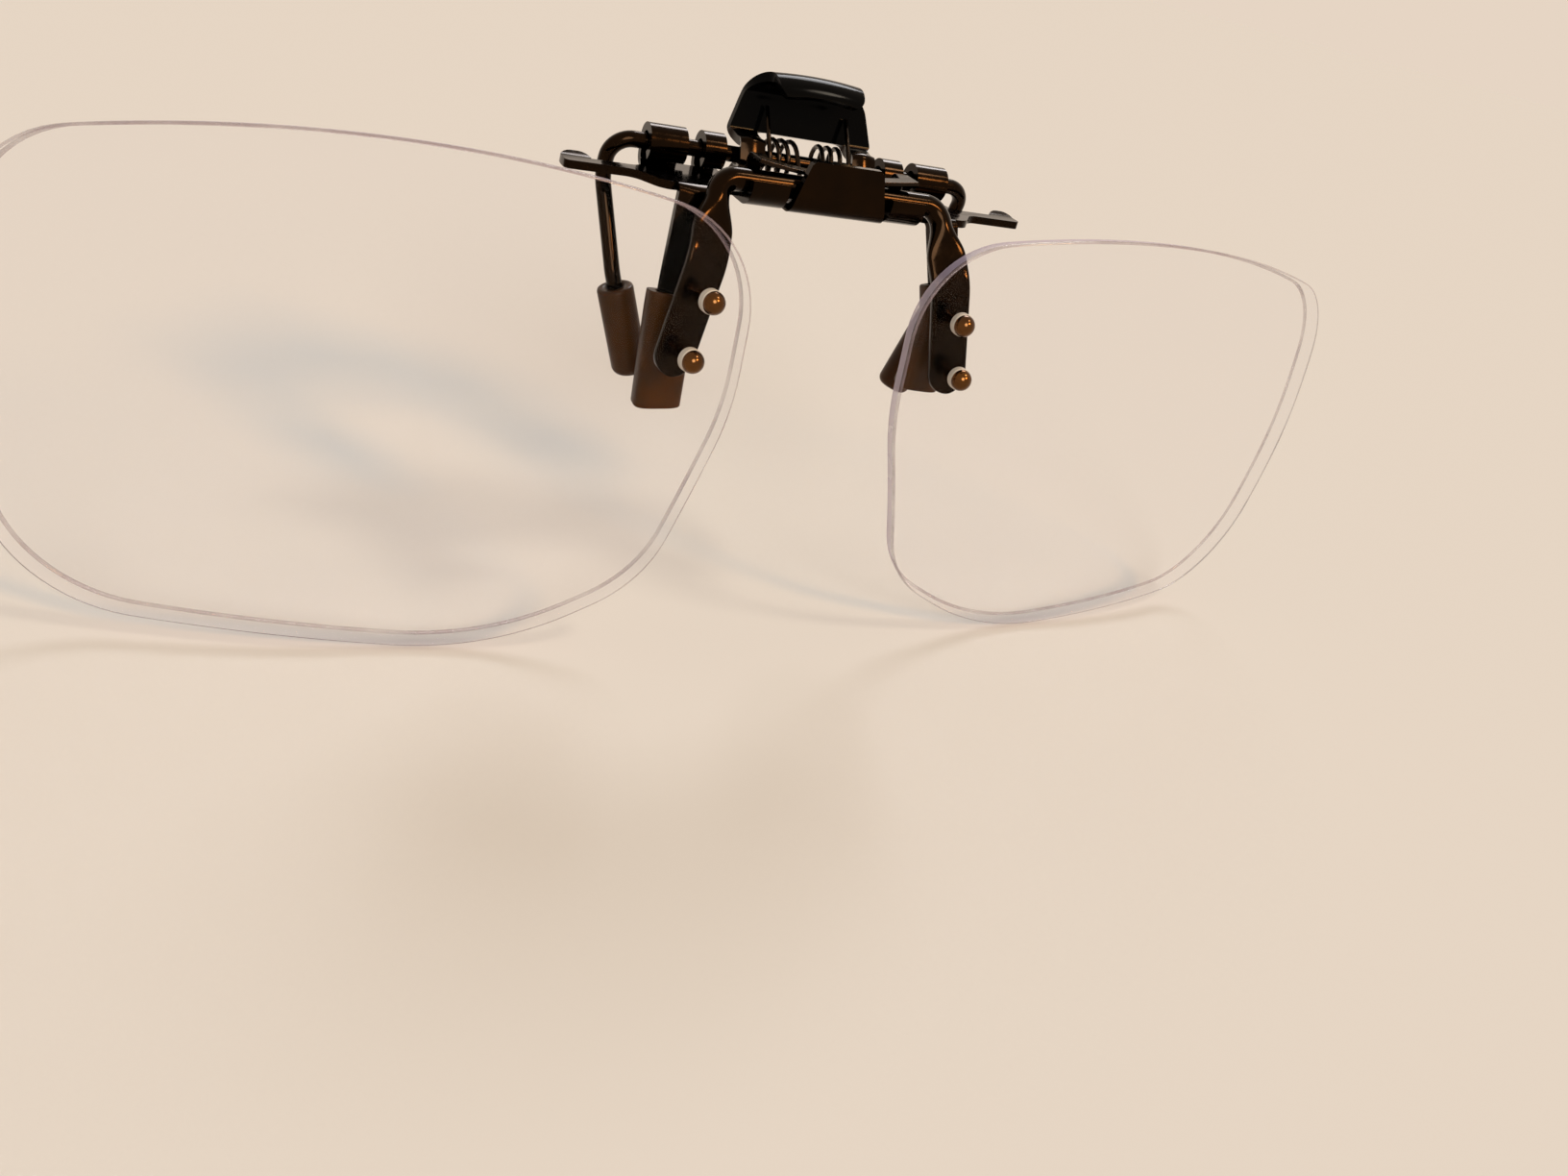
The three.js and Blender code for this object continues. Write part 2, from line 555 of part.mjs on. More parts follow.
function clipBracket() {
  const rear = AXLE_Y + earRadius - SHEET_BEND;
  const legEdge = LEG_X - LEG_WIDTH / 2 - RELIEF;
  const half = [
    [legEdge + PLATE_FRONT - STRIP_FRONT, STRIP_FRONT, RELIEF],
    [legEdge, PLATE_FRONT, RELIEF],
    [PAD_OUTER, PLATE_FRONT, PAD_SHOULDER_RADIUS],
    [PAD_OUTER + WING_SHOULDER, WING_FRONT, PAD_SHOULDER_RADIUS],
    [WING_REACH, WING_FRONT, RELIEF],
    [WING_REACH, WING_REAR, RELIEF],
    [PAD_OUTER + NOTCH_RADIUS, WING_REAR, NOTCH_RADIUS],
    [PAD_OUTER, rear, 0],
    [PAD_INNER, rear, 0],
    [PAD_INNER, STRIP_REAR, NOTCH_RADIUS],
  ];
  const otherHalf = half.map(([x, y, radius]) => [-x, y, radius]).reverse();
  const plate = toSolid(alongZ(roundedShape([...half, ...otherHalf]), [0, SHEET]));

  const earPath = new THREE.Path();
  earPath.moveTo(AXLE_Y - SHEET, SHEET / 2);
  earPath.lineTo(rear, SHEET / 2);
  earPath.absarc(rear, SHEET / 2 + SHEET_BEND, SHEET_BEND, -Math.PI / 2, 0);
  earPath.absarc(AXLE_Y, AXLE_Z, earRadius, 0, EAR_WRAP);
  const earShape = sheetShape(earPath, SHEET);

  const troughPath = new THREE.Path();
  troughPath.moveTo(STRIP_FRONT + SHEET, SHEET / 2);
  troughPath.lineTo(FLIP_AXIS_Y, SHEET / 2);
  const troughEnd = -Math.PI / 2 - TROUGH_WRAP;
  troughPath.absarc(FLIP_AXIS_Y, FLIP_AXIS_Z, troughRadius, -Math.PI / 2, troughEnd, true);
  const troughShape = sheetShape(troughPath, SHEET);

  const wallY = FLIP_AXIS_Y - troughRadius;
  const wallPath = new THREE.Path();
  wallPath.moveTo(STRIP_FRONT + SHEET, SHEET / 2);
  wallPath.lineTo(wallY + SHEET_BEND, SHEET / 2);
  wallPath.absarc(wallY + SHEET_BEND, SHEET / 2 + SHEET_BEND, SHEET_BEND, -Math.PI / 2, -Math.PI, true);
  wallPath.lineTo(wallY, STOP_WALL_TOP);
  const wallFace = roundedShape([
    [-STOP_WALL_FOOT_HALF, 0, 0],
    [STOP_WALL_FOOT_HALF, 0, 0],
    [STOP_WALL_TOP_HALF, STOP_WALL_TOP, RELIEF],
    [-STOP_WALL_TOP_HALF, STOP_WALL_TOP, RELIEF],
  ]);
  const wallSheet = alongX(sheetShape(wallPath, SHEET), [-STOP_WALL_FOOT_HALF, STOP_WALL_FOOT_HALF]);
  const wallCutter = alongY(wallFace, [wallY - SHEET, STRIP_FRONT + 2 * SHEET]);
  const wall = toSolid(wallSheet).intersect(toSolid(wallCutter));

  const paddlePath = new THREE.Path();
  const paddleStart = WING_REACH - PADDLE_WIDTH;
  const paddleBend = (WING_FRONT + WING_REAR) / 2;
  paddlePath.moveTo(WING_FRONT, SHEET / 2);
  paddlePath.absarc(
    paddleBend, SHEET / 2 + SHEET_BEND, SHEET_BEND, -Math.PI / 2, PADDLE_TILT - Math.PI / 2);
  const paddleTop = paddlePath.currentPoint.clone();
  paddlePath.lineTo(paddleTop.x + PADDLE_REAR, paddleTop.y + PADDLE_REAR * Math.tan(PADDLE_TILT));
  const paddlePlan = roundedShape([
    [paddleStart, WING_FRONT, 0],
    [WING_REACH, WING_FRONT, RELIEF],
    [WING_REACH, PADDLE_REAR, PADDLE_RADIUS],
    [paddleStart, PADDLE_REAR, PADDLE_RADIUS],
  ]);
  const paddleSheet = alongX(sheetShape(paddlePath, SHEET), [paddleStart, WING_REACH]);
  const paddle = toSolid(paddleSheet).intersect(toSolid(alongZ(paddlePlan, [0, PADDLE_REAR])));

  const side = [
    toSolid(alongX(earShape, INNER_EAR)),
    toSolid(alongX(earShape, OUTER_EAR)),
    toSolid(alongX(troughShape, TROUGH)),
    paddle,
    toSolid(leg()),
  ];
  const otherSide = side.map((piece) => toSolid(mirrored(toGeometry(piece))));
  return toGeometry(joined([plate, wall, ...side, ...otherSide]));
}

// Bowed strip over the flip wire, with a leg behind the wire at each end, down to the plate.
function detentLeaf() {
  const lowest = FLIP_AXIS_Z + FLIP_WIRE_RADIUS + SEAT_GAP / 2 + LEAF_SHEET / 2;
  const bow = new THREE.Path();
  bow.moveTo(-LEAF_HALF, lowest + LEAF_RISE);
  bow.quadraticCurveTo(0, lowest - LEAF_RISE, LEAF_HALF, lowest + LEAF_RISE);
  const strip = toSolid(alongY(sheetShape(bow, LEAF_SHEET), [LEAF_FRONT, LEAF_REAR]));
  const top = lowest + LEAF_RISE - LEAF_SHEET / 2;
  const down = new THREE.Path();
  down.moveTo(LEAF_REAR - LEAF_SHEET, top);
  down.lineTo(LEAF_LEG_Y - SHEET_BEND, top);
  down.absarc(LEAF_LEG_Y - SHEET_BEND, top - SHEET_BEND, SHEET_BEND, Math.PI / 2, 0, true);
  down.lineTo(LEAF_LEG_Y, SHEET);
  const right = toSolid(alongX(sheetShape(down, LEAF_SHEET), [LEAF_HALF - LEAF_LEG_WIDTH, LEAF_HALF]));
  const left = toSolid(mirrored(toGeometry(right)));
  return toGeometry(joined([strip, right, left]));
}

function frontSleeve(slip) {
  const path = legPath();
  const outer = stretch(path, slip, slip + SLEEVE_LENGTH);
  const bore = stretch(path, slip - SEAT_GAP, slip + SLEEVE_LENGTH - SLEEVE_FLOOR);
  const outside = outer.map((point, i) => sectionRing(point, tangentAt(outer, i), alongAxle,
    FRONT_SLEEVE_WIDTH / 2, FRONT_SLEEVE_DEPTH / 2, SLEEVE_SQUARENESS, SLEEVE_SIDES));
  const inside = bore.map((point, i) => sectionRing(point, tangentAt(bore, i), alongAxle,
    (legHalfWidth(point) + SEAT_GAP) * Math.SQRT2, (SHEET / 2 + SEAT_GAP) * Math.SQRT2, 1, 4));
  return toGeometry(toSolid(loft(outside)).subtract(toSolid(loft(inside))));
}

// Jaw wire on one side, from the middle of the axle to the end of the prong.
function prongPath() {
  return bentPath(
    [new THREE.Vector3(0, AXLE_Y, AXLE_Z), new THREE.Vector3(AXLE_HALF, AXLE_Y, AXLE_Z),
      PRONG_BOW, PRONG_KNEE, PRONG_FOOT],
    [WIRE_BEND_RADIUS, PRONG_BOW_RADIUS, PRONG_KNEE_RADIUS]);
}

function jawWire() {
  const right = prongPath();
  const left = right.slice(1).map((p) => new THREE.Vector3(-p.x, p.y, p.z)).reverse();
  return tube([...left, ...right.slice(1)], WIRE_RADIUS, WIRE_SIDES);
}

function rearSleeve() {
  const along = PRONG_FOOT.clone().sub(PRONG_KNEE).normalize();
  const end = PRONG_FOOT.clone().addScaledVector(along, REAR_SLEEVE_OVERHANG);
  const start = end.clone().addScaledVector(along, -REAR_SLEEVE_LENGTH);
  const shoulder = end.clone().addScaledVector(along, -REAR_SLEEVE_ROUND);
  const ring = (point, radius) => sectionRing(point, along, alongAxle, radius, radius, 1, SLEEVE_SIDES);
  const nose = [0, Math.PI / 4, Math.PI / 2].map((angle) => ring(
    shoulder.clone().addScaledVector(along, REAR_SLEEVE_ROUND * Math.sin(angle)),
    REAR_SLEEVE_RADIUS - REAR_SLEEVE_ROUND * (1 - Math.cos(angle))));
  const outside = loft([ring(start, REAR_SLEEVE_RADIUS), ...nose]);
  const boreEnd = PRONG_FOOT.clone().addScaledVector(along, SEAT_GAP);
  const boreStart = start.clone().addScaledVector(along, -SEAT_GAP);
  const bore = loft([ring(boreStart, WIRE_RADIUS + SEAT_GAP), ring(boreEnd, WIRE_RADIUS + SEAT_GAP)]);
  return toGeometry(toSolid(outside).subtract(toSolid(bore)));
}

// Ends of the tab's flat face in Y and Z, on the middle of its sheet.
const tabKnee = new THREE.Vector2(AXLE_Y + TAB_FOOT_LEAN, AXLE_Z + TAB_WINDOW_TOP);
const tabBrow = new THREE.Vector2(
  AXLE_Y + TAB_LEAN, AXLE_Z + TAB_HEIGHT - TAB_SHEET / 2 - TAB_LIP_RADIUS);

// Sheet that wraps the axle from behind and below, comes over it in front, rises and ends in a
// lip rolled forwards. Its outline rounds the top and leaves two legs beside a window.
function thumbTab() {
  const wrap = WIRE_RADIUS + SEAT_GAP + TAB_SHEET / 2;
  const knee = new THREE.Vector2(TAB_FOOT_LEAN, TAB_WINDOW_TOP);
  const leaving = knee.angle() + Math.acos(wrap / knee.length());
  const path = new THREE.Path();
  path.absarc(AXLE_Y, AXLE_Z, wrap, leaving + TAB_CRIMP, leaving, true);
  path.lineTo(tabKnee.x, tabKnee.y);
  path.lineTo(tabBrow.x, tabBrow.y);
  const rollY = tabBrow.x - TAB_LIP_RADIUS;
  path.absarc(rollY, tabBrow.y, TAB_LIP_RADIUS, 0, TAB_LIP_ROLL);
  const lipFront = path.currentPoint.x;
  const sheet = toSolid(alongX(sheetShape(path, TAB_SHEET), [-TAB_SHOULDER_HALF, TAB_SHOULDER_HALF]));
  const bottom = AXLE_Z - 2 * wrap;
  const windowTop = AXLE_Z + TAB_WINDOW_TOP;
  const top = AXLE_Z + TAB_HEIGHT + SEAT_GAP;
  const outline = roundedShape([
    [-TAB_LEG_OUTER, bottom, 0],
    [-TAB_LEG_INNER, bottom, 0],
    [-TAB_LEG_INNER, windowTop, TAB_WINDOW_RADIUS],
    [TAB_LEG_INNER, windowTop, TAB_WINDOW_RADIUS],
    [TAB_LEG_INNER, bottom, 0],
    [TAB_LEG_OUTER, bottom, 0],
    [TAB_SHOULDER_HALF, windowTop, TAB_SHOULDER_RADIUS],
    [TAB_TOP_HALF, top, TAB_CORNER_RADIUS],
    [-TAB_TOP_HALF, top, TAB_CORNER_RADIUS],
    [-TAB_SHOULDER_HALF, windowTop, TAB_SHOULDER_RADIUS],
  ]);
  const cutter = toSolid(alongY(outline, [AXLE_Y - TAB_HEIGHT, AXLE_Y + TAB_HEIGHT]));
  const clearOfSide = TAB_SHOULDER_HALF + TAB_SHEET;
  const clearOfLip = lipFront - TAB_SHEET;
  const lipTrim = roundedShape([
    [TAB_LIP_HALF, clearOfLip, 0],
    [clearOfSide, clearOfLip, 0],
    [clearOfSide, rollY, 0],
    [TAB_SHOULDER_HALF, rollY, 0],
    [TAB_LIP_HALF, lipFront, TAB_LIP_CORNER_RADIUS],
  ]);
  const trim = alongZ(lipTrim, [windowTop + TAB_SHEET, top + TAB_SHEET]);
  const trims = toSolid(trim).add(toSolid(mirrored(trim)));
  return toGeometry(sheet.intersect(cutter).subtract(trims));
}

// Middle line of the torsion spring, from the leg on the tab through one coil, the loop and the
// other coil to the other leg.
function springPath() {
  const at = (x, angle) => new THREE.Vector3(
    x, AXLE_Y + SPRING_COIL_RADIUS * Math.cos(angle), AXLE_Z + SPRING_COIL_RADIUS * Math.sin(angle));
  const heading = (angle) => new THREE.Vector3(0, -Math.sin(angle), Math.cos(angle));
  const wound = SPRING_TURNS * 2 * Math.PI + SPRING_LOOP_ANGLE - SPRING_LEG_ANGLE;
  const steps = Math.round(SPRING_TURNS * SPRING_STEPS_PER_TURN);
  const legRoot = at(SPRING_OUTER, SPRING_LEG_ANGLE);
  const legHeading = heading(SPRING_LEG_ANGLE).negate();
  const rise = tabBrow.clone().sub(tabKnee).normalize();
  const tabFront = new THREE.Vector3(0, -rise.y, rise.x);
  const clearOfTab = TAB_SHEET / 2 + SEAT_GAP + SPRING_WIRE_RADIUS;
  const fromTab = legRoot.clone().sub(new THREE.Vector3(SPRING_OUTER, tabKnee.x, tabKnee.y));
  const legLength = (clearOfTab - fromTab.dot(tabFront)) / legHeading.dot(tabFront);
  const half = [legRoot.clone().addScaledVector(legHeading, legLength)];
  for (let k = 0; k <= steps; k++) {
    const x = THREE.MathUtils.lerp(SPRING_OUTER, SPRING_INNER, k / steps);
    half.push(at(x, SPRING_LEG_ANGLE + wound * k / steps));
  }
  const seatZ = SHEET + SEAT_GAP + SPRING_WIRE_RADIUS;
  const leave = half.at(-1);
  const landing = leave.clone().addScaledVector(
    heading(SPRING_LOOP_ANGLE), (leave.z - seatZ) / -heading(SPRING_LOOP_ANGLE).z);
  const corner = new THREE.Vector3(SPRING_INNER, SPRING_LOOP_Y, seatZ);
  const middle = new THREE.Vector3(0, SPRING_LOOP_Y, seatZ);
  const loop = bentPath(
    [leave, landing, corner, middle], [SPRING_BEND_RADIUS, SPRING_BEND_RADIUS], SPRING_BEND_STEPS);
  half.push(...loop.slice(1, -1));
  const other = half.map((p) => new THREE.Vector3(-p.x, p.y, p.z)).reverse();
  return [...half, ...other];
}

function jawSpring() {
  const points = springPath();
  const clear = Math.PI * SPRING_COIL_RADIUS;
  let least = Infinity;
  points.forEach((p, i) => {
    let walked = 0;
    for (let j = i + 1; j < points.length; j++) {
      walked += points[j].distanceTo(points[j - 1]);
      if (walked > clear) least = Math.min(least, p.distanceTo(points[j]) - 2 * SPRING_WIRE_RADIUS);
    }
  });
  console.log(`jaw_spring: least gap to itself ${least.toFixed(2)} mm`);
  return tube(points, SPRING_WIRE_RADIUS, SPRING_SIDES);
}

const finish = {
  gunmetal: { color: 0x1d1815, roughness: 0.28, metalness: 1 },
  bronze: { color: 0x8a5a22, roughness: 0.25, metalness: 1 },
  spring: { color: 0x2a241f, roughness: 0.3, metalness: 1 },
  gloss: { color: 0x0b0a0a, roughness: 0.2, metalness: 0 },
  lens: { color: 0xe9e6f2, roughness: 0.05, metalness: 0, transparent: true, opacity: 0.25 },
  nylon: { color: 0xe4ddd2, roughness: 0.5, metalness: 0 },
  rubber: { color: 0x5e3c1c, roughness: 0.45, metalness: 0 },
};

const clipOn = new THREE.Group();
clipOn.name = 'flip_up_clip_on';

function add(name, geometry, look) {
  const mesh = new THREE.Mesh(geometry, new THREE.MeshStandardMaterial(finish[look]));
  mesh.name = name;
  clipOn.add(mesh);
}

function addPair(name, geometry, look) {
  add(`${name}_right`, geometry, look);
  add(`${name}_left`, mirrored(geometry), look);
}

add('clip_bracket', clipBracket(), 'gunmetal');
add('detent_leaf', detentLeaf(), 'spring');
add('front_sleeve_right', frontSleeve(FRONT_SLEEVE_START.right), 'rubber');
add('front_sleeve_left', mirrored(frontSleeve(FRONT_SLEEVE_START.left)), 'rubber');
add('jaw_spring', jawSpring(), 'spring');

add('jaw_wire', jawWire(), 'gunmetal');
add('thumb_tab', thumbTab(), 'gloss');
addPair('rear_sleeve', rearSleeve(), 'rubber');

add('flip_wire', flipWire(), 'gunmetal');
addPair('lens', lens(), 'lens');
['upper', 'lower'].forEach((level, k) => {
  const placement = rivetPlacement(rivetDowns[k]);
  addPair(`${level}_rivet`, mergeVertices(rivet()).applyMatrix4(placement), 'bronze');
  addPair(`${level}_washer`, mergeVertices(washer()).applyMatrix4(placement), 'nylon');
});

export default clipOn;
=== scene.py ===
"""Flip-up clip-on lenses: the dressed model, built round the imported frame."""

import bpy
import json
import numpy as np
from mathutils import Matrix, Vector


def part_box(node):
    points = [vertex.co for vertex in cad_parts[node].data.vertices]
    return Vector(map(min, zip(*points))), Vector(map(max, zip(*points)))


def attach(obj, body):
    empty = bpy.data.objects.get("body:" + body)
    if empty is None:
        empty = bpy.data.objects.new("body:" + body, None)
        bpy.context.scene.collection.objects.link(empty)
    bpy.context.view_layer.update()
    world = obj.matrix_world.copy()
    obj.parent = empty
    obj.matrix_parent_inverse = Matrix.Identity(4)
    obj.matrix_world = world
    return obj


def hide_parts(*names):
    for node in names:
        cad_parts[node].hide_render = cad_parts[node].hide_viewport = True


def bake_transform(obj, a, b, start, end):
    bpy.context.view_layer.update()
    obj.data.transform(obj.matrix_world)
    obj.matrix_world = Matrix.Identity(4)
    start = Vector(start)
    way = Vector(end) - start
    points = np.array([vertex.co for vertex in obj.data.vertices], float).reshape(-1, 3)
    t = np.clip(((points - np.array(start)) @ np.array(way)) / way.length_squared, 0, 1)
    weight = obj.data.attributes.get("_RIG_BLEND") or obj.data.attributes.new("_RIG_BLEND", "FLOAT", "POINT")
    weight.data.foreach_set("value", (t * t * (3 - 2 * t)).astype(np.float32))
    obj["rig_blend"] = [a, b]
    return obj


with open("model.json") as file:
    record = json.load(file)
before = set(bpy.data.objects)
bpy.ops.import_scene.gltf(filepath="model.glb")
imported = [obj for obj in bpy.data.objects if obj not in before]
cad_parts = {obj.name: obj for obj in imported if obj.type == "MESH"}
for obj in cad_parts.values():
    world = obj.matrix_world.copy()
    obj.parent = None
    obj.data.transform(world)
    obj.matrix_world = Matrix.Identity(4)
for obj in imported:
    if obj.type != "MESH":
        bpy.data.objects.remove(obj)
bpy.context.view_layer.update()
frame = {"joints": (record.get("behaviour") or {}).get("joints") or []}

import json
import math
from functools import cache

import bmesh
import bpy
from bpy.props import FloatProperty, FloatVectorProperty, PointerProperty
from mathutils import Matrix, Vector

bl_info = {
    "name": "Flip-up clip-on lenses",
    "version": (1, 0, 0),
    "blender": (4, 5, 0),
    "location": "3D View > Sidebar > Clip-on",
    "description": "Builds a sprung clip with flip-up rimless lenses, piece by piece",
    "category": "Add Mesh",
}

MM = 0.001
TAU = 2 * math.pi
UP = Vector((0, 0, 1))
ALONG_X = Vector((1, 0, 0))
SIDES = (("right", 1), ("left", -1))
JOINT_AT = {joint["name"]: Vector(joint["pos_m"]) for joint in frame["joints"]}
AXLE = JOINT_AT["jaw_open"]
ROD = JOINT_AT["lens_flip"]
# Room between a piece and what carries it, in millimetres.
GAP = 0.2
# Corners that are looked up lie this close, and points that are joined lie closer.
SAME_CORNER = 0.01 * MM
SAME_POINT = 0.001 * MM
# Edges are rounded, or shaded sharp, where their faces meet at more than these angles.
ROUNDED_FROM = math.radians(50)
SHARP_FROM = math.radians(40)


def linear(hex_colour):
    """An sRGB hex colour as the linear red, green and blue that shaders take."""
    parts = [int(hex_colour[i:i + 2], 16) / 255 for i in (1, 3, 5)]
    return [c / 12.92 if c <= 0.04045 else ((c + 0.055) / 1.055) ** 2.4 for c in parts]


def length(name, description, millimetres):
    """A length property with its default in millimetres."""
    return FloatProperty(
        name=name, description=description, default=millimetres * MM, unit="LENGTH", precision=5)


def colour(name, description, hex_colour):
    """A colour property with an sRGB default."""
    return FloatVectorProperty(
        name=name, description=description, subtype="COLOR", size=3, min=0, max=1,
        default=linear(hex_colour))


class ClipSizes(bpy.types.PropertyGroup):
    """Sizes of the stamped clip, its leaf and the thumb tab."""
    sheet: length("Sheet", "Thickness of the bracket's sheet metal", 0.7)
    bend: length("Bend", "Radius of the sheet's bends, at its middle", 0.75)
    edge: length("Edge", "Width of the rounding on stamped edges", 0.1)
    leg_width: length("Leg width", "Width of a front leg where it leaves the plate", 3.1)
    leg_tip: length("Leg tip", "Width of a front leg at its end", 1.9)
    wall_top: length("Stop wall", "Height of the stop wall over the plate's underside", 4.6)
    tab_sheet: length("Tab sheet", "Thickness of the thumb tab", 0.8)
    leaf_sheet: length("Leaf sheet", "Thickness of the detent leaf", 0.35)


class WireSizes(bpy.types.PropertyGroup):
    """Sizes of the wires and of the sleeves on them."""
    flip: length("Flip wire", "Radius of the flip wire's rod", 1.0)
    arm_width: length("Arm width", "Width of the flattened lens arms", 3.7)
    jaw: length("Jaw wire", "Radius of the axle and prongs", 0.7)
    spring: length("Spring wire", "Radius of the torsion spring's wire", 0.22)
    coil: length("Coil", "Radius of the spring's coils, at the wire's middle", 1.75)
    sleeve: length("Sleeve", "Length of a front sleeve", 10.6)
    sleeve_gap: length("Sleeve gap", "Room between a sleeve's bore and what it covers", 0.2)


class LensSizes(bpy.types.PropertyGroup):
    """Sizes of the lenses and of the rivets that hold them."""
    width: length("Width", "Width of a lens", 58)
    height: length("Height", "Height of a lens", 43.3)
    thickness: length("Thickness", "Thickness of a lens", 1.8)
    curve: length("Curve", "Radius of a lens's spherical curve", 111)
    bridge: length("Bridge", "Distance between the lenses", 17)
    head: length("Rivet head", "Radius of a rivet's domed head", 1.0)
    washer: length("Washer", "Radius of the washer under a rivet's head", 1.05)


class Finishes(bpy.types.PropertyGroup):
    """Colours of the finishes."""
    nickel: colour("Black nickel", "Plated steel of the bracket and wires", "#14100c")
    nickel_warm: colour("Bronzed nickel", "Warmer patches in the plating", "#24170c")
    steel: colour("Tempered steel", "Springs", "#2c2722")
    lacquer: colour("Lacquer", "Thumb tab", "#030303")
    bronze: colour("Bronze", "Rivet heads", "#744814")
    nylon: colour("Nylon", "Washers", "#ded4c6")
    rubber: colour("Rubber", "Sleeves", "#472605")
    rubber_deep: colour("Deep rubber", "Denser streaks in the sleeves", "#241403")
    lens: colour("Lens", "Clear lens plastic", "#ece9fa")
    lens_edge: colour("Lens edge", "Ground edge of a lens", "#c3b3c6")
    lens_chamfer: colour("Lens chamfer", "Polished chamfer along a lens's edge", "#8e7f86")
    floor: colour("Floor", "Floor under the part", "#dcd8d2")


def sizes(group):
    """One of the scene's groups of values."""
    return getattr(bpy.context.scene, group)


def mm(*values):
    """A place given in millimetres."""
    return Vector([value * MM for value in values])


# Paths and sections


def rounded_corner(before, corner, after, radius, steps):
    """Points round a corner between two straight runs."""
    back = (before - corner).normalized()
    on = (after - corner).normalized()
    half = back.angle(on) / 2
    centre = corner + (back + on).normalized() * (radius / math.sin(half))
    start = corner + back * (radius / math.tan(half)) - centre
    axis = (-back).cross(on).normalized()
    turn = math.pi - 2 * half
    return [centre + Matrix.Rotation(turn * k / steps, 3, axis) @ start for k in range(steps + 1)]


def bent_path(corners, radii, steps):
    """Points along straight runs between corners, each inner corner rounded to its radius."""
    points = [corners[0].copy()]
    for before, corner, after, radius in zip(corners, corners[1:], corners[2:], radii):
        points += rounded_corner(before, corner, after, radius, steps)
    points.append(corners[-1].copy())
    return points


def quarter_bend(start, ahead, rise, steps):
    """Depths and heights round a sheet's right-angled bend, from where its flat ends."""
    y, z = start
    turns = [math.pi / 2 * k / steps for k in range(steps + 1)]
    return [(y + ahead * math.sin(turn), z + rise * (1 - math.cos(turn))) for turn in turns]


def stretch(points, start, end):
    """The part of a path between two distances along it."""
    part = []
    walked = 0.0
    for before, after in zip(points, points[1:]):
        step = (after - before).length
        if walked <= start < walked + step:
            part.append(before.lerp(after, (start - walked) / step))
        if start < walked + step < end:
            part.append(after.copy())
        if walked < end <= walked + step:
            part.append(before.lerp(after, (end - walked) / step))
        walked += step
    return part


def heading(points, i):
    """Direction of a path at one of its points."""
    before = (points[i] - points[max(i - 1, 0)]).normalized()
    after = (points[min(i + 1, len(points) - 1)] - points[i]).normalized()
    return (before + after).normalized()


def squared(value, squareness):
    """A sine or cosine pushed towards a square section as squareness falls from 1."""
    return math.copysign(abs(value) ** squareness, value)


def place_ring(ring, turn, point, along, hint, across, deep, squareness):
    """Sets a ring's vertices on a section round a point."""
    sideways = (hint - along * hint.dot(along)).normalized()
    outward = along.cross(sideways)
    for vert in ring:
        u = squared(math.cos(vert[turn]), squareness)
        v = squared(math.sin(vert[turn]), squareness)
        vert.co = point + sideways * (u * across) + outward * (v * deep)


def first_ring(bm, sides):
    """A ring of vertices that remember their turn round the section."""
    turn = bm.verts.layers.float.new("turn")
    ring = bmesh.ops.create_circle(bm, cap_ends=False, segments=sides, radius=1)["verts"]
    for k, vert in enumerate(ring):
        vert[turn] = (k + 0.5) / sides * TAU
    return ring, turn


def ring_edges(ring):
    """The edges between a ring's own vertices."""
    own = set(ring)
    return list({edge for vert in ring for edge in vert.link_edges if edge.other_vert(vert) in own})


def next_ring(bm, ring):
    """Extrudes a ring and returns the new one."""
    made = bmesh.ops.extrude_edge_only(bm, edges=ring_edges(ring))["geom"]
    return [item for item in made if isinstance(item, bmesh.types.BMVert)]


def swept(bm, points, hints, halves, squareness, sides):
    """Carries a section along a path, open at both ends. Returns the first and last rings."""
    ring, turn = first_ring(bm, sides)
    first = ring
    for i, point in enumerate(points):
        if i:
            ring = next_ring(bm, ring)
        place_ring(ring, turn, point, heading(points, i), hints[i], *halves[i], squareness[i])
    return first, ring


def round_wire(bm, points, radius, sides):
    """Carries a round section along a path, its side direction turning without a twist."""
    # Any direction off the path will do to start from.
    hint = Vector((0.3, 0.5, 0.8))
    hints = []
    for i in range(len(points)):
        along = heading(points, i)
        hint = (hint - along * hint.dot(along)).normalized()
        hints.append(hint)
    count = len(points)
    return swept(bm, points, hints, [(radius, radius)] * count, [1.0] * count, sides)


def close_ring(bm, ring):
    """Closes an open end with a face."""
    bmesh.ops.contextual_create(bm, geom=ring_edges(ring))


def far_edges(made):
    """The far edges of a strip that was just extruded or spun."""
    verts = {item for item in made if isinstance(item, bmesh.types.BMVert)}
    return [item for item in made
            if isinstance(item, bmesh.types.BMEdge) and verts.issuperset(item.verts)]


def edge_between(bm, a, b):
    """The edge whose ends lie at two points, as a row of one."""
    def at(vert, point):
        """Whether a vertex lies at a point."""
        return (vert.co - point).length < SAME_CORNER
    return [edge for edge in bm.edges
            if (at(edge.verts[0], a) and at(edge.verts[1], b))
            or (at(edge.verts[0], b) and at(edge.verts[1], a))]


def rows_from(bm, edges, rows):
    """Draws a strip out of a row of edges through rows of points, the lowest x first."""
    for row in rows:
        edges = far_edges(bmesh.ops.extrude_edge_only(bm, edges=edges)["geom"])
        verts = {vert for edge in edges for vert in edge.verts}
        for vert, point in zip(sorted(verts, key=lambda v: v.co.x), row):
            vert.co = point
    return edges


def spun(bm, edges, centre, degrees, steps):
    """Rolls a strip out of a row of edges round an axis along X."""
    verts = {vert for edge in edges for vert in edge.verts}
    made = bmesh.ops.spin(
        bm, geom=[*edges, *verts], cent=centre, axis=ALONG_X, dvec=(0, 0, 0),
        angle=math.radians(degrees), steps=steps, use_merge=False, use_duplicate=False)
    return far_edges(made["geom_last"])


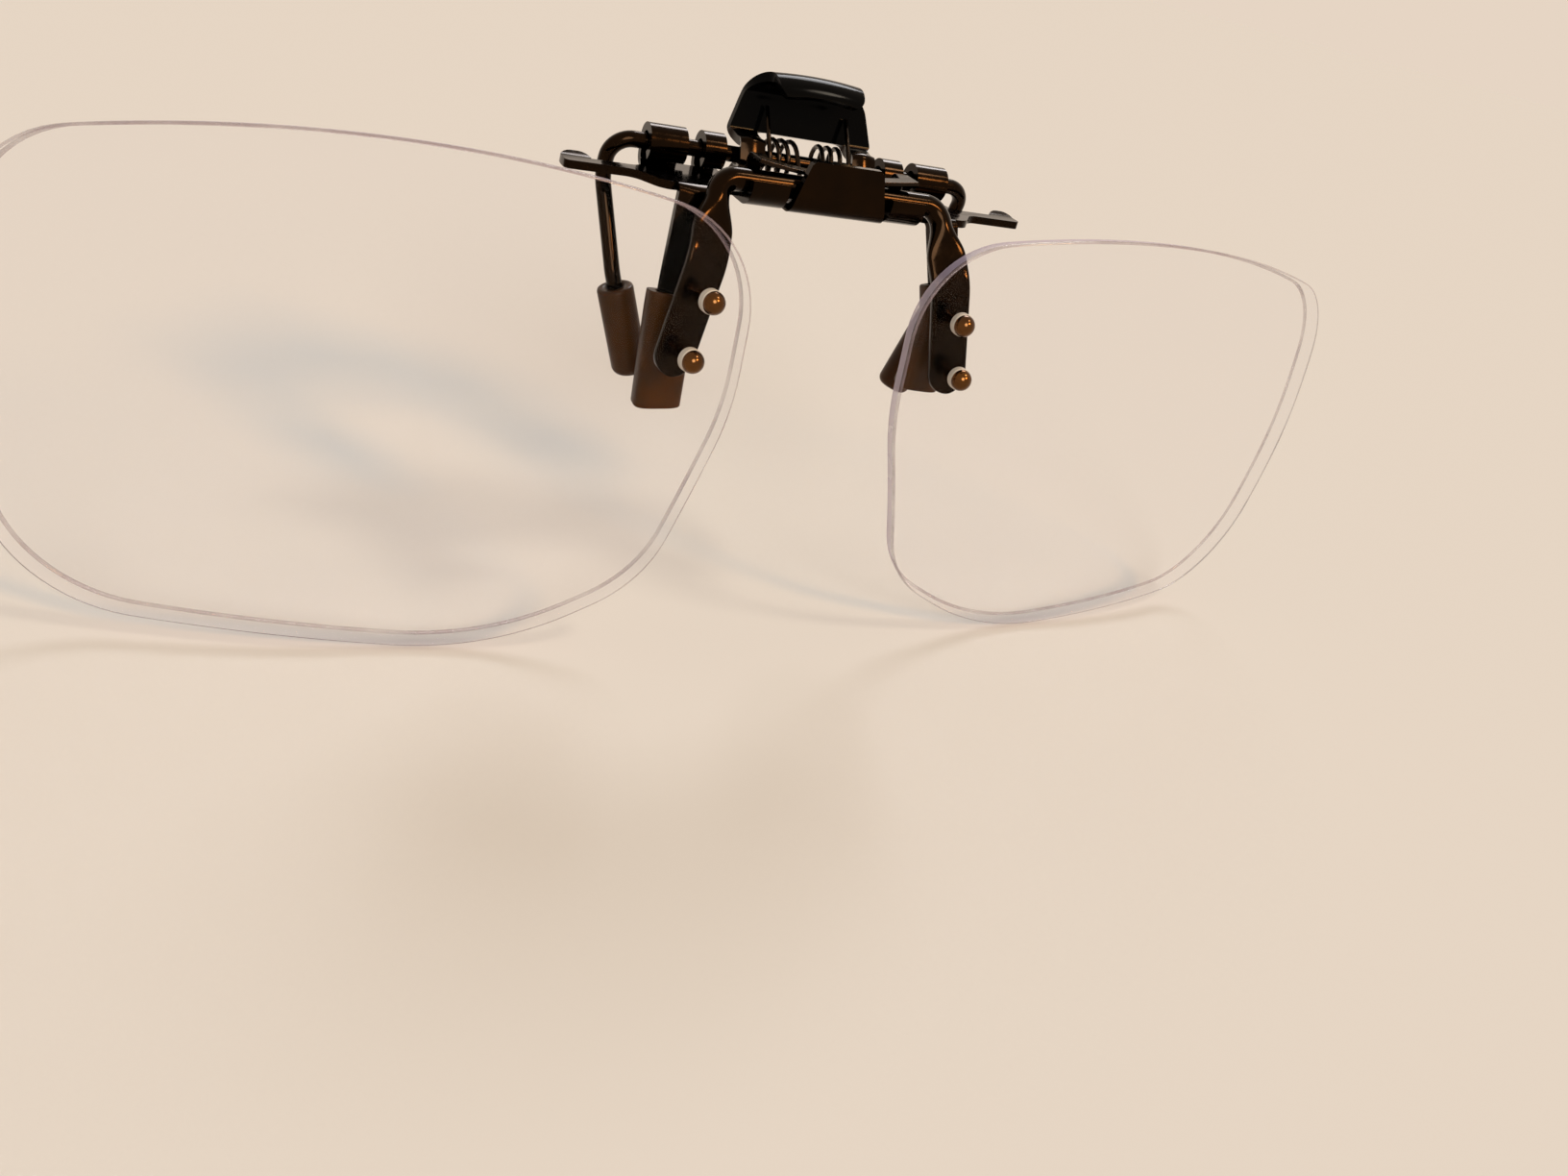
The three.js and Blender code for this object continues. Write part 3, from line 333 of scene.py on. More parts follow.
def mirror_over_x(bm):
    """Adds the mirror image over the plane of symmetry and joins the halves."""
    bmesh.ops.mirror(
        bm, geom=[*bm.verts, *bm.edges, *bm.faces], matrix=Matrix.Identity(4),
        merge_dist=SAME_POINT, axis="X")
    bmesh.ops.remove_doubles(bm, verts=bm.verts, dist=SAME_POINT)


def lathe(bm, profile, steps, joined=SAME_POINT):
    """Turns a profile of radius and height once round the Z axis."""
    verts = [bm.verts.new((radius, 0, height)) for radius, height in profile]
    edges = [bm.edges.new(pair) for pair in zip(verts, verts[1:])]
    bmesh.ops.spin(
        bm, geom=[*verts, *edges], cent=(0, 0, 0), axis=UP, dvec=(0, 0, 0),
        angle=TAU, steps=steps, use_merge=True, use_duplicate=False)
    bmesh.ops.remove_doubles(bm, verts=bm.verts, dist=joined)


def placed(bm, point, axis, sign):
    """Moves a turned shape so that its Z axis points along an axis from a point, on one side."""
    turn = UP.rotation_difference(axis).to_matrix().to_4x4()
    bmesh.ops.transform(bm, matrix=Matrix.Translation(point) @ turn, verts=bm.verts)
    bmesh.ops.scale(bm, vec=(sign, 1, 1), verts=bm.verts)


def piece(name, bm, materials, node):
    """Makes an object of a finished bmesh, in place of a frame node."""
    bmesh.ops.recalc_face_normals(bm, faces=bm.faces)
    for face in bm.faces:
        face.smooth = True
    mesh = bpy.data.meshes.new(name)
    bm.to_mesh(mesh)
    bm.free()
    made = bpy.data.objects.new(name, mesh)
    bpy.context.scene.collection.objects.link(made)
    for material in materials:
        mesh.materials.append(material)
    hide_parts(node)
    return made


def rounded(made, width, segments=3, material=-1):
    """Rounds a piece's sharp edges."""
    rounding = made.modifiers.new("Edges", "BEVEL")
    rounding.width = width
    rounding.segments = segments
    rounding.limit_method = "ANGLE"
    rounding.angle_limit = ROUNDED_FROM
    rounding.harden_normals = True
    rounding.material = material


def subdivided(made, levels):
    """Smooths a piece with a subdivision surface."""
    smooth = made.modifiers.new("Smooth", "SUBSURF")
    smooth.levels = levels
    smooth.render_levels = levels


def solidified(made, thickness, rim_material=0):
    """Gives a sheet its thickness."""
    solid = made.modifiers.new("Thickness", "SOLIDIFY")
    solid.thickness = thickness
    solid.offset = 0
    solid.use_even_offset = True
    solid.material_offset_rim = rim_material


# Materials, each made once

# A noise texture stays mostly within this range.
NOISE_RANGE = {"From Min": 0.3, "From Max": 0.7}


def add_node(tree, kind, values=None, links=None, **settings):
    """Adds a node with its settings, its sockets' values and the links into it."""
    node = tree.nodes.new(kind)
    for key, value in settings.items():
        setattr(node, key, value)
    for key, value in (values or {}).items():
        node.inputs[key].default_value = value
    for key, socket in (links or {}).items():
        tree.links.new(socket, node.inputs[key])
    return node


def per_mm(millimetres):
    """Texture scale at which a pattern's features are that far apart."""
    return 1 / (millimetres * MM)


def rgba(values):
    """A colour as a socket takes it, fully opaque."""
    return (*values, 1.0)


def new_material(name):
    """An empty node material, its tree and its object coordinates."""
    made = bpy.data.materials.new(name)
    made.use_nodes = True
    made.node_tree.nodes.clear()
    coords = add_node(made.node_tree, "ShaderNodeTexCoord")
    return made, made.node_tree, coords.outputs["Object"]


def plated(name, base, warm, rough_low, rough_high, lacquer=0.0):
    """Barrel-plated metal: an even dark mirror with warmer clouds and a fine satin haze."""
    made, tree, at = new_material(name)
    clouds = add_node(tree, "ShaderNodeTexNoise", {"Scale": per_mm(2.5), "Detail": 3.0}, {"Vector": at})
    haze = add_node(tree, "ShaderNodeTexNoise", {"Scale": per_mm(0.6), "Detail": 4.0}, {"Vector": at})
    # The plating's grain is finer than a pixel, so it is drawn at 0.15 mm to show at all.
    grain = add_node(tree, "ShaderNodeTexNoise", {"Scale": per_mm(0.15), "Detail": 2.0}, {"Vector": at})
    tint = add_node(
        tree, "ShaderNodeMix", {"A": rgba(base), "B": rgba(warm)}, {"Factor": clouds.outputs["Fac"]},
        data_type="RGBA")
    rough = add_node(
        tree, "ShaderNodeMapRange", {**NOISE_RANGE, "To Min": rough_low, "To Max": rough_high},
        {"Value": haze.outputs["Fac"]})
    bump = add_node(
        tree, "ShaderNodeBump", {"Strength": 0.06, "Distance": 0.02 * MM}, {"Height": grain.outputs["Fac"]})
    shader = add_node(
        tree, "ShaderNodeBsdfPrincipled", {"Metallic": 1.0, "Coat Weight": lacquer, "Coat Roughness": 0.08},
        {"Base Color": tint.outputs["Result"], "Roughness": rough.outputs["Result"],
         "Normal": bump.outputs["Normal"]})
    add_node(tree, "ShaderNodeOutputMaterial", None, {"Surface": shader.outputs["BSDF"]})
    return made


@cache
def black_nickel():
    """Black-nickel plated steel: near black, bronze where the light strikes it."""
    tints = sizes("clip_on_finishes")
    return plated("black nickel plate", tints.nickel, tints.nickel_warm, 0.07, 0.17)


@cache
def tempered_steel():
    """Tempered spring steel: drawn wire and strip, greyer than the plating."""
    tints = sizes("clip_on_finishes")
    return plated("tempered spring steel", tints.steel, tints.nickel_warm, 0.12, 0.24)


@cache
def polished_bronze():
    """Tumbled bronze: golden, bright on the dome, with fine haze from tumbling."""
    tints = sizes("clip_on_finishes")
    return plated("polished bronze", tints.bronze, tints.nickel_warm, 0.12, 0.2, lacquer=0.25)


@cache
def black_lacquer():
    """Sprayed gloss lacquer over pressed steel: deep black with a faint orange peel."""
    made, tree, at = new_material("black lacquer")
    tints = sizes("clip_on_finishes")
    peel = add_node(tree, "ShaderNodeTexNoise", {"Scale": per_mm(0.7), "Detail": 2.0}, {"Vector": at})
    smudge = add_node(tree, "ShaderNodeTexNoise", {"Scale": per_mm(3.0), "Detail": 4.0}, {"Vector": at})
    rough = add_node(
        tree, "ShaderNodeMapRange", {**NOISE_RANGE, "To Min": 0.08, "To Max": 0.16},
        {"Value": smudge.outputs["Fac"]})
    bump = add_node(
        tree, "ShaderNodeBump", {"Strength": 0.05, "Distance": 0.05 * MM}, {"Height": peel.outputs["Fac"]})
    shader = add_node(
        tree, "ShaderNodeBsdfPrincipled", {"Base Color": rgba(tints.lacquer), "Specular IOR Level": 0.04},
        {"Roughness": rough.outputs["Result"], "Normal": bump.outputs["Normal"]})
    add_node(tree, "ShaderNodeOutputMaterial", None, {"Surface": shader.outputs["BSDF"]})
    return made


@cache
def natural_nylon():
    """Natural nylon: cut from sheet, milky and satin."""
    made, tree, at = new_material("natural nylon")
    tints = sizes("clip_on_finishes")
    cut = add_node(tree, "ShaderNodeTexNoise", {"Scale": per_mm(0.3), "Detail": 3.0}, {"Vector": at})
    rough = add_node(
        tree, "ShaderNodeMapRange", {**NOISE_RANGE, "To Min": 0.35, "To Max": 0.55},
        {"Value": cut.outputs["Fac"]})
    bump = add_node(
        tree, "ShaderNodeBump", {"Strength": 0.1, "Distance": 0.02 * MM}, {"Height": cut.outputs["Fac"]})
    shader = add_node(
        tree, "ShaderNodeBsdfPrincipled", {"Base Color": rgba(tints.nylon), "IOR": 1.53, "Alpha": 0.65},
        {"Roughness": rough.outputs["Result"], "Normal": bump.outputs["Normal"]})
    add_node(tree, "ShaderNodeOutputMaterial", None, {"Surface": shader.outputs["BSDF"]})
    return made


@cache
def amber_rubber():
    """Moulded soft rubber: amber-brown, a little see-through, with cloudy streaks and a satin skin."""
    made, tree, at = new_material("amber soft rubber")
    tints = sizes("clip_on_finishes")
    streaks = add_node(tree, "ShaderNodeTexNoise", {"Scale": per_mm(2.0), "Detail": 3.0}, {"Vector": at})
    skin = add_node(tree, "ShaderNodeTexNoise", {"Scale": per_mm(0.35), "Detail": 3.0}, {"Vector": at})
    tint = add_node(
        tree, "ShaderNodeMix", {"A": rgba(tints.rubber_deep), "B": rgba(tints.rubber)},
        {"Factor": streaks.outputs["Fac"]}, data_type="RGBA")
    rough = add_node(
        tree, "ShaderNodeMapRange", {**NOISE_RANGE, "To Min": 0.3, "To Max": 0.36},
        {"Value": skin.outputs["Fac"]})
    bump = add_node(
        tree, "ShaderNodeBump", {"Strength": 0.12, "Distance": 0.04 * MM}, {"Height": skin.outputs["Fac"]})
    shader = add_node(
        tree, "ShaderNodeBsdfPrincipled",
        {"Subsurface Weight": 0.12, "Subsurface Scale": 0.6 * MM, "Subsurface Radius": (1.0, 0.4, 0.1),
         "Specular IOR Level": 0.13},
        {"Base Color": tint.outputs["Result"], "Roughness": rough.outputs["Result"],
         "Normal": bump.outputs["Normal"]})
    add_node(tree, "ShaderNodeOutputMaterial", None, {"Surface": shader.outputs["BSDF"]})
    return made


@cache
def coated_lens():
    """Cast lens resin with a reflecting coat: clear, with a faint haze of wiping marks."""
    made, tree, at = new_material("coated lens resin")
    tints = sizes("clip_on_finishes")
    wipes = add_node(tree, "ShaderNodeTexNoise", {"Scale": per_mm(9.0), "Detail": 4.0}, {"Vector": at})
    haze = add_node(
        tree, "ShaderNodeMapRange", {"From Min": 0.35, "From Max": 0.75, "To Min": 0.06, "To Max": 0.1},
        {"Value": wipes.outputs["Fac"]})
    # The faces bend no light here: they are so nearly parallel that the view behind them stays in place.
    shader = add_node(
        tree, "ShaderNodeBsdfPrincipled",
        {"Base Color": rgba(tints.lens), "Transmission Weight": 1.0, "IOR": 1.0, "Roughness": 0.0,
         "Coat Weight": 1.0, "Coat IOR": 1.5, "Coat Roughness": 0.02},
        {"Alpha": haze.outputs["Result"]})
    add_node(tree, "ShaderNodeOutputMaterial", None, {"Surface": shader.outputs["BSDF"]})
    return made


@cache
def ground_edge():
    """Ground and buffed lens edge: lilac-grey from outside, nearly lost when seen through the resin."""
    made, tree, at = new_material("ground lens edge")
    tints = sizes("clip_on_finishes")
    marks = add_node(tree, "ShaderNodeTexNoise", {"Scale": per_mm(4.0), "Detail": 2.0}, {"Vector": at})
    rough = add_node(
        tree, "ShaderNodeMapRange", {**NOISE_RANGE, "To Min": 0.22, "To Max": 0.3},
        {"Value": marks.outputs["Fac"]})
    side = add_node(tree, "ShaderNodeNewGeometry")
    cover = add_node(
        tree, "ShaderNodeMapRange", {"To Min": 0.7, "To Max": 0.05}, {"Value": side.outputs["Backfacing"]})
    shader = add_node(
        tree, "ShaderNodeBsdfPrincipled", {"Base Color": rgba(tints.lens_edge), "IOR": 1.5},
        {"Roughness": rough.outputs["Result"], "Alpha": cover.outputs["Result"]})
    add_node(tree, "ShaderNodeOutputMaterial", None, {"Surface": shader.outputs["BSDF"]})
    return made


@cache
def lens_chamfer():
    """Polished chamfer between a lens's faces and edge: a fine line, dark or catching the light."""
    made, tree, at = new_material("polished lens chamfer")
    tints = sizes("clip_on_finishes")
    marks = add_node(tree, "ShaderNodeTexNoise", {"Scale": per_mm(4.0), "Detail": 2.0}, {"Vector": at})
    cover = add_node(
        tree, "ShaderNodeMapRange", {**NOISE_RANGE, "To Min": 0.35, "To Max": 0.65},
        {"Value": marks.outputs["Fac"]})
    shader = add_node(
        tree, "ShaderNodeBsdfPrincipled",
        {"Base Color": rgba(tints.lens_chamfer), "Roughness": 0.12, "IOR": 1.5},
        {"Alpha": cover.outputs["Result"]})
    add_node(tree, "ShaderNodeOutputMaterial", None, {"Surface": shader.outputs["BSDF"]})
    return made


@cache
def pale_board():
    """Matt painted board of the floor, with the faint mottle of a roller."""
    made, tree, at = new_material("matt painted board")
    tints = sizes("clip_on_finishes")
    mottle = add_node(tree, "ShaderNodeTexNoise", {"Scale": per_mm(6.0), "Detail": 3.0}, {"Vector": at})
    bump = add_node(
        tree, "ShaderNodeBump", {"Strength": 0.03, "Distance": 0.2 * MM}, {"Height": mottle.outputs["Fac"]})
    shader = add_node(
        tree, "ShaderNodeBsdfPrincipled",
        {"Base Color": rgba(tints.floor), "Roughness": 0.9, "Specular IOR Level": 0.0},
        {"Normal": bump.outputs["Normal"]})
    add_node(tree, "ShaderNodeOutputMaterial", None, {"Surface": shader.outputs["BSDF"]})
    return made


# The bracket's right half, in millimetres and degrees

LEG_KNEE = mm(13.7, -3.2, -8.0)
LEG_FOOT = mm(13.0, -2.1, -18.6)
LEG_X = 12.2
LEG_LENGTH = 16.6
LEG_KNEE_BEND = 8
LEG_BEND_STEPS = 8
# The leg's first row lies at least this far off the edge that it is drawn from.
LEG_START = 0.05
PLATE_FRONT = -0.3
PLATE_INNER = 7.9
PLATE_OUTER = 15.1
PLATE_CORNER = 0.8
CORNER_SEGMENTS = 5
# The slanting shoulder from the strip's front edge to the plate's, and its two corners.
SHOULDER = (9.35, 10.25)
SHOULDER_CORNERS = (0.4, 0.3)
STRIP_FRONT = 0.6
STRIP_REAR = 3.4
WING_FRONT = 2.2
WING_REAR = 3.7
WING_REACH = 22.8
WING_TIP_CORNER = 0.5
# Where the wing's front and rear edges meet the plate's slanting sides.
WING_ROOTS = (16.8, 15.9)
PADDLE_FROM = 20.2
# Rows of a paddle's upturned tip: depth, rise and how far each side draws in.
PADDLE_ROWS = (
    (4.0, 0.06, 0.0), (4.25, 0.15, 0.12), (4.45, 0.24, 0.35), (4.6, 0.3, 0.65), (4.68, 0.34, 0.95),
)
EARS = ((8.0, 10.0), (11.6, 15.0))
EAR_ROLL = 235
EAR_STEPS = 22
TROUGH = (5.0, 8.4)
TROUGH_ROLL = 105
TROUGH_STEPS = 10
# Half the stop wall's width on the strip's edge, at the plate's underside and at its top.
WALL_ROOT = 4.6
WALL_FOOT = 4.7
WALL_CREST = 3.4
WALL_CORNER = 0.3
# Steps of the right-angled bends.
BEND_STEPS = 6


def half_sheet():
    """Height of the sheet's middle over the plate's underside, in millimetres."""
    return sizes("clip_on_clip").sheet / MM / 2


def rear_edge():
    """Depth of the plate's rear edge, where the ears start to bend up, in millimetres."""
    ear_radius = sizes("clip_on_wires").jaw / MM + GAP + half_sheet()
    return AXLE.y / MM + ear_radius - sizes("clip_on_clip").bend / MM


def leg_path():
    """Middle line of the right-hand front leg, from inside the plate."""
    middle = half_sheet()
    root = mm(LEG_X, STRIP_FRONT + 2 * middle, middle)
    edge = mm(LEG_X, PLATE_FRONT - middle, middle)
    bends = [sizes("clip_on_clip").bend, LEG_KNEE_BEND * MM]
    return bent_path([root, edge, LEG_KNEE, LEG_FOOT], bends, LEG_BEND_STEPS)


def leg_half(point):
    """Half the leg's width at a point of its middle line."""
    clip = sizes("clip_on_clip")
    share = max(0.0, point.z / LEG_FOOT.z)
    return (clip.leg_width + (clip.leg_tip - clip.leg_width) * share) / 2


def leg_root():
    """Where the leg's two sides leave the plate's front edge, across in millimetres."""
    half = sizes("clip_on_clip").leg_width / MM / 2
    return LEG_X - half, LEG_X + half


def bracket_plate(bm):
    """The flat plate, strip and wing as one face."""
    rear = rear_edge()
    leg_low, leg_high = leg_root()
    (inner_low, inner_high), (outer_low, outer_high) = EARS
    # Each corner's place across, its depth and its rounding.
    outline = [
        (0, STRIP_FRONT, 0), (WALL_ROOT, STRIP_FRONT, 0), (TROUGH[0], STRIP_FRONT, 0),
        (TROUGH[1], STRIP_FRONT, 0), (SHOULDER[0], STRIP_FRONT, SHOULDER_CORNERS[0]),
        (SHOULDER[1], PLATE_FRONT, SHOULDER_CORNERS[1]), (leg_low, PLATE_FRONT, 0),
        (leg_high, PLATE_FRONT, 0), (PLATE_OUTER, PLATE_FRONT, PLATE_CORNER),
        (WING_ROOTS[0], WING_FRONT, PLATE_CORNER), (WING_REACH, WING_FRONT, WING_TIP_CORNER),
        (WING_REACH, WING_REAR, 0), (PADDLE_FROM, WING_REAR, 0), (WING_ROOTS[1], WING_REAR, PLATE_CORNER),
        (PLATE_OUTER, rear, 0), (outer_high, rear, 0), (outer_low, rear, 0), (inner_high, rear, 0),
        (inner_low, rear, 0), (PLATE_INNER, rear, 0), (PLATE_INNER, STRIP_REAR, PLATE_CORNER),
        (0, STRIP_REAR, 0),
    ]
    corners = [bm.verts.new(mm(x, y, half_sheet())) for x, y, _ in outline]
    bm.faces.new(corners)
    for vert, (_, _, radius) in zip(corners, outline):
        if radius:
            bmesh.ops.bevel(
                bm, geom=[vert], offset=radius * MM, offset_type="OFFSET", affect="VERTICES",
                segments=CORNER_SEGMENTS, profile=0.5, material=-1, clamp_overlap=True)


def edge_along(bm, xs, depth):
    """The plate's edge between two places across, at a depth, in millimetres."""
    return edge_between(bm, *(mm(x, depth, half_sheet()) for x in xs))


def roll_ears(bm):
    """Bends the ears up from the rear edge and rolls them round the axle."""
    rear = rear_edge()
    bend = sizes("clip_on_clip").bend
    for ear in EARS:
        centre = mm(0, rear, half_sheet() + bend / MM)
        edge = spun(bm, edge_along(bm, ear, rear), centre, 90, BEND_STEPS)
        edge = rows_from(bm, edge, [[Vector((x * MM, rear * MM + bend, AXLE.z)) for x in ear]])
        spun(bm, edge, AXLE, EAR_ROLL, EAR_STEPS)


def bend_trough(bm):
    """Bends the open trough under the flip wire."""
    row = [mm(x, ROD.y / MM, half_sheet()) for x in TROUGH]
    edge = rows_from(bm, edge_along(bm, TROUGH, STRIP_FRONT), [row])
    spun(bm, edge, ROD, -TROUGH_ROLL, TROUGH_STEPS)


def bend_stop_wall(bm):
    """Bends the stop wall up from the strip's front edge, narrower towards its top."""
    clip = sizes("clip_on_clip")
    middle, bend, top = half_sheet(), clip.bend / MM, clip.wall_top / MM
    wall_y = ROD.y / MM - (sizes("clip_on_wires").flip / MM + GAP + middle)
    wall = quarter_bend((wall_y + bend, middle), -bend, bend, BEND_STEPS)
    wall += [(wall_y, top - 4 * WALL_CORNER), (wall_y, top - WALL_CORNER), (wall_y, top)]
    insets = [0] * (len(wall) - 1) + [WALL_CORNER]
    rows = []
    for (y, z), inset in zip(wall, insets):
        half = WALL_FOOT + (WALL_CREST - WALL_FOOT) * z / top
        rows.append((mm(0, y, z), mm(half - inset, y, z)))
    rows_from(bm, edge_along(bm, (0, WALL_ROOT), STRIP_FRONT), rows)


def turn_up_paddle(bm):
    """Turns up the rounded tip of the wing's paddle."""
    edge = edge_along(bm, (PADDLE_FROM, WING_REACH), WING_REAR)
    rows_from(bm, edge, [
        [mm(x, y, half_sheet() + rise) for x in (PADDLE_FROM + inset, WING_REACH - inset)]
        for y, rise, inset in PADDLE_ROWS])


def bend_leg(bm):
    """Bends the front leg down from the plate's front edge."""
    first = (PLATE_FRONT - LEG_START) * MM
    path = [point for point in stretch(leg_path(), 0, LEG_LENGTH * MM) if point.y < first]
    rows = []
    for i, point in enumerate(path):
        along = heading(path, i)
        sideways = (ALONG_X - along * ALONG_X.dot(along)).normalized() * leg_half(point)
        rows.append((point - sideways, point + sideways))
    rows_from(bm, edge_along(bm, leg_root(), PLATE_FRONT), rows)


class CLIPON_OT_bracket(bpy.types.Operator):
    """Build the stamped bracket: plate, wings, ears, troughs, stop wall and front legs"""
    bl_idname = "clip_on.bracket"
    bl_label = "Bracket"

    def execute(self, context):
        clip = sizes("clip_on_clip")
        bm = bmesh.new()
        for step in (bracket_plate, roll_ears, bend_trough, bend_stop_wall, turn_up_paddle, bend_leg):
            step(bm)
        mirror_over_x(bm)
        made = piece("clip_bracket_sheet", bm, [black_nickel()], "clip_bracket")
        solidified(made, clip.sheet)
        rounded(made, clip.edge)
        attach(made, "bracket")
        return {"FINISHED"}


# The detent leaf, in millimetres

LEAF_HALF = 7.7
LEAF_LEG_FROM = 6.4
LEAF_DEPTHS = (-2.3, -0.9)
LEAF_RISE = 0.6
LEAF_STEPS = 8
LEAF_BEND = 0.75
LEAF_BEND_STEPS = 5
LEAF_LEG_DEPTH = 0.6
LEAF_EDGE = 0.06
# Room under the leaf's middle, and under its legs.
LEAF_GAP = 0.1
LEAF_LEG_GAP = 0.02


class CLIPON_OT_leaf(bpy.types.Operator):
    """Build the bowed leaf that presses on the flip wire"""
    bl_idname = "clip_on.leaf"
    bl_label = "Detent leaf"

    def execute(self, context):
        clip = sizes("clip_on_clip")
        leaf = clip.leaf_sheet
        lowest = ROD.z + sizes("clip_on_wires").flip + LEAF_GAP * MM + leaf / 2
        half, leg_from = LEAF_HALF * MM, LEAF_LEG_FROM * MM
        front, back = (depth * MM for depth in LEAF_DEPTHS)

        def height(x):
            """Height of the bow's middle line."""
            return lowest + LEAF_RISE * MM * (x / half) ** 2

        bm = bmesh.new()
        ends = [bm.verts.new((0, y, lowest)) for y in (front, back)]
        row = [bm.edges.new(ends)]
        for x in [leg_from * k / LEAF_STEPS for k in range(1, LEAF_STEPS + 1)] + [half]:
            row = far_edges(bmesh.ops.extrude_edge_only(bm, edges=row)["geom"])
            for vert, y in zip(sorted(row[0].verts, key=lambda v: v.co.y), (front, back)):
                vert.co = (x, y, height(x))
        edge = edge_between(bm, *(Vector((x, back, height(x))) for x in (leg_from, half)))
        leg_y, bend = LEAF_LEG_DEPTH * MM, LEAF_BEND * MM
        rows = quarter_bend((leg_y - bend, height(half)), bend, -bend, LEAF_BEND_STEPS)
        rows.append((leg_y, clip.sheet + LEAF_LEG_GAP * MM))
        rows_from(bm, edge, [[Vector((x, y, z)) for x in (leg_from, half)] for y, z in rows])
        mirror_over_x(bm)
        made = piece("detent_leaf_strip", bm, [tempered_steel()], "detent_leaf")
        solidified(made, leaf)
        rounded(made, LEAF_EDGE * MM)
        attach(made, "bracket")
        return {"FINISHED"}


# The front sleeves, in millimetres

SLEEVE_SIDES = 32
FRONT_SLEEVE_HALVES = (2.2, 1.2)
FRONT_SLEEVE_FLOOR = 0.8
FRONT_SLEEVE_EDGE = 0.3
# How far each sleeve is pushed along its leg.
FRONT_SLEEVE_SLIPS = {"right": 7.2, "left": 10.5}
# How square the sleeve's outside and its bore are: 1 is round.
FRONT_SLEEVE_SQUARENESS = 0.55
FRONT_BORE_SQUARENESS = 0.4


def front_sleeve(side, sign):
    """A flat sleeve on a front leg, hollow down to its closed end."""
    wires = sizes("clip_on_wires")
    gap = wires.sleeve_gap
    sheet = sizes("clip_on_clip").sheet
    slip = FRONT_SLEEVE_SLIPS[side] * MM
    path = leg_path()
    outer = stretch(path, slip, slip + wires.sleeve)
    bore = stretch(path, slip, slip + wires.sleeve - FRONT_SLEEVE_FLOOR * MM)
    count = len(outer)
    halves = [half * MM for half in FRONT_SLEEVE_HALVES]
    bm = bmesh.new()
    ring, last = swept(
        bm, outer, [ALONG_X] * count, [halves] * count, [FRONT_SLEEVE_SQUARENESS] * count, SLEEVE_SIDES)
    close_ring(bm, last)
    turn = bm.verts.layers.float["turn"]
    for i, point in enumerate(bore):
        ring = next_ring(bm, ring)
        place_ring(ring, turn, point, heading(bore, i), ALONG_X,
                   leg_half(point) + gap, sheet / 2 + gap, FRONT_BORE_SQUARENESS)
    close_ring(bm, ring)
    bmesh.ops.scale(bm, vec=(sign, 1, 1), verts=bm.verts)
    made = piece(
        f"front_sleeve_{side}_rubber", bm, [amber_rubber()], f"front_sleeve_{side}")
    rounded(made, FRONT_SLEEVE_EDGE * MM, segments=4)
    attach(made, "bracket")


class CLIPON_OT_front_sleeves(bpy.types.Operator):
    """Build the flat rubber sleeves on the front legs"""
    bl_idname = "clip_on.front_sleeves"
    bl_label = "Front sleeves"

    def execute(self, context):
        for side, sign in SIDES:
            front_sleeve(side, sign)
        return {"FINISHED"}


# The thumb tab's right half, in millimetres and degrees: depth and height of its bends, and half widths

TAB_KNEE = (7.5, 4.2)
TAB_BROW = (8.2, 7.4)
TAB_HALF = 7.2
TAB_TAPER = 2.0 / 5.8
# The shoulder is an arc from this height up: its radius, and its centre's place across and height.
TAB_SHOULDER_FROM = 6.97
TAB_SHOULDER_RADIUS = 4.5
TAB_SHOULDER_AT = (1.99, 5.5)
TAB_LIP_RADIUS = 2.0
TAB_LIP_ROLL = 155
TAB_LIP_STEPS = 16
TAB_LIP_NARROWING = 0.25
TAB_LIP_CORNER = 0.35
TAB_LIP_SAG = 0.35
TAB_EDGE = 0.16
# Columns of a leg on the axle and above it, of the knee, and of the window's upper edge.
TAB_CRIMP_COLUMNS = (4.5, 5.6, 6.7)
TAB_SHIN_COLUMNS = (4.5, 5.65, 6.8)
TAB_KNEE_COLUMNS = (4.5, 5.85)
TAB_WINDOW_COLUMNS = (0, 1.5, 3.0)
TAB_SHIN_SHARE = 0.22
# Columns of the plate and lip, as shares of the half width.
TAB_SHARES = (0, 0.21, 0.42, 0.62, 0.82, 1.0)
TAB_PLATE_STEPS = 6
# The crimps are pressed flat on the upper front and fuller at the middle of their width.
CRIMP_ROLL = 195
CRIMP_STEPS = 20
CRIMP_SLOPE = math.radians(25)
CRIMP_FLAT = math.radians(38)
CRIMP_CROWN = 0.3


def tab_half(height):
    """Half the tab's width at a height, in millimetres."""
    if height < TAB_SHOULDER_FROM:
        return TAB_HALF - (height - TAB_KNEE[1]) * TAB_TAPER
    across, up = TAB_SHOULDER_AT
    return across + math.sqrt(TAB_SHOULDER_RADIUS ** 2 - (height - up) ** 2)


# The jaw spring's right half, in millimetres

SPRING_OUTER = 4.0
SPRING_INNER = 1.3
SPRING_TURNS = 3
SPRING_STEPS = 20 * SPRING_TURNS
SPRING_LEG_ANGLE = math.radians(141)
SPRING_LOOP_ANGLE = math.radians(135)
SPRING_LOOP_FRONT = 1.4
SPRING_LOOP_BEND = 0.5
SPRING_LOOP_BEND_STEPS = 6
SPRING_SIDES = 10


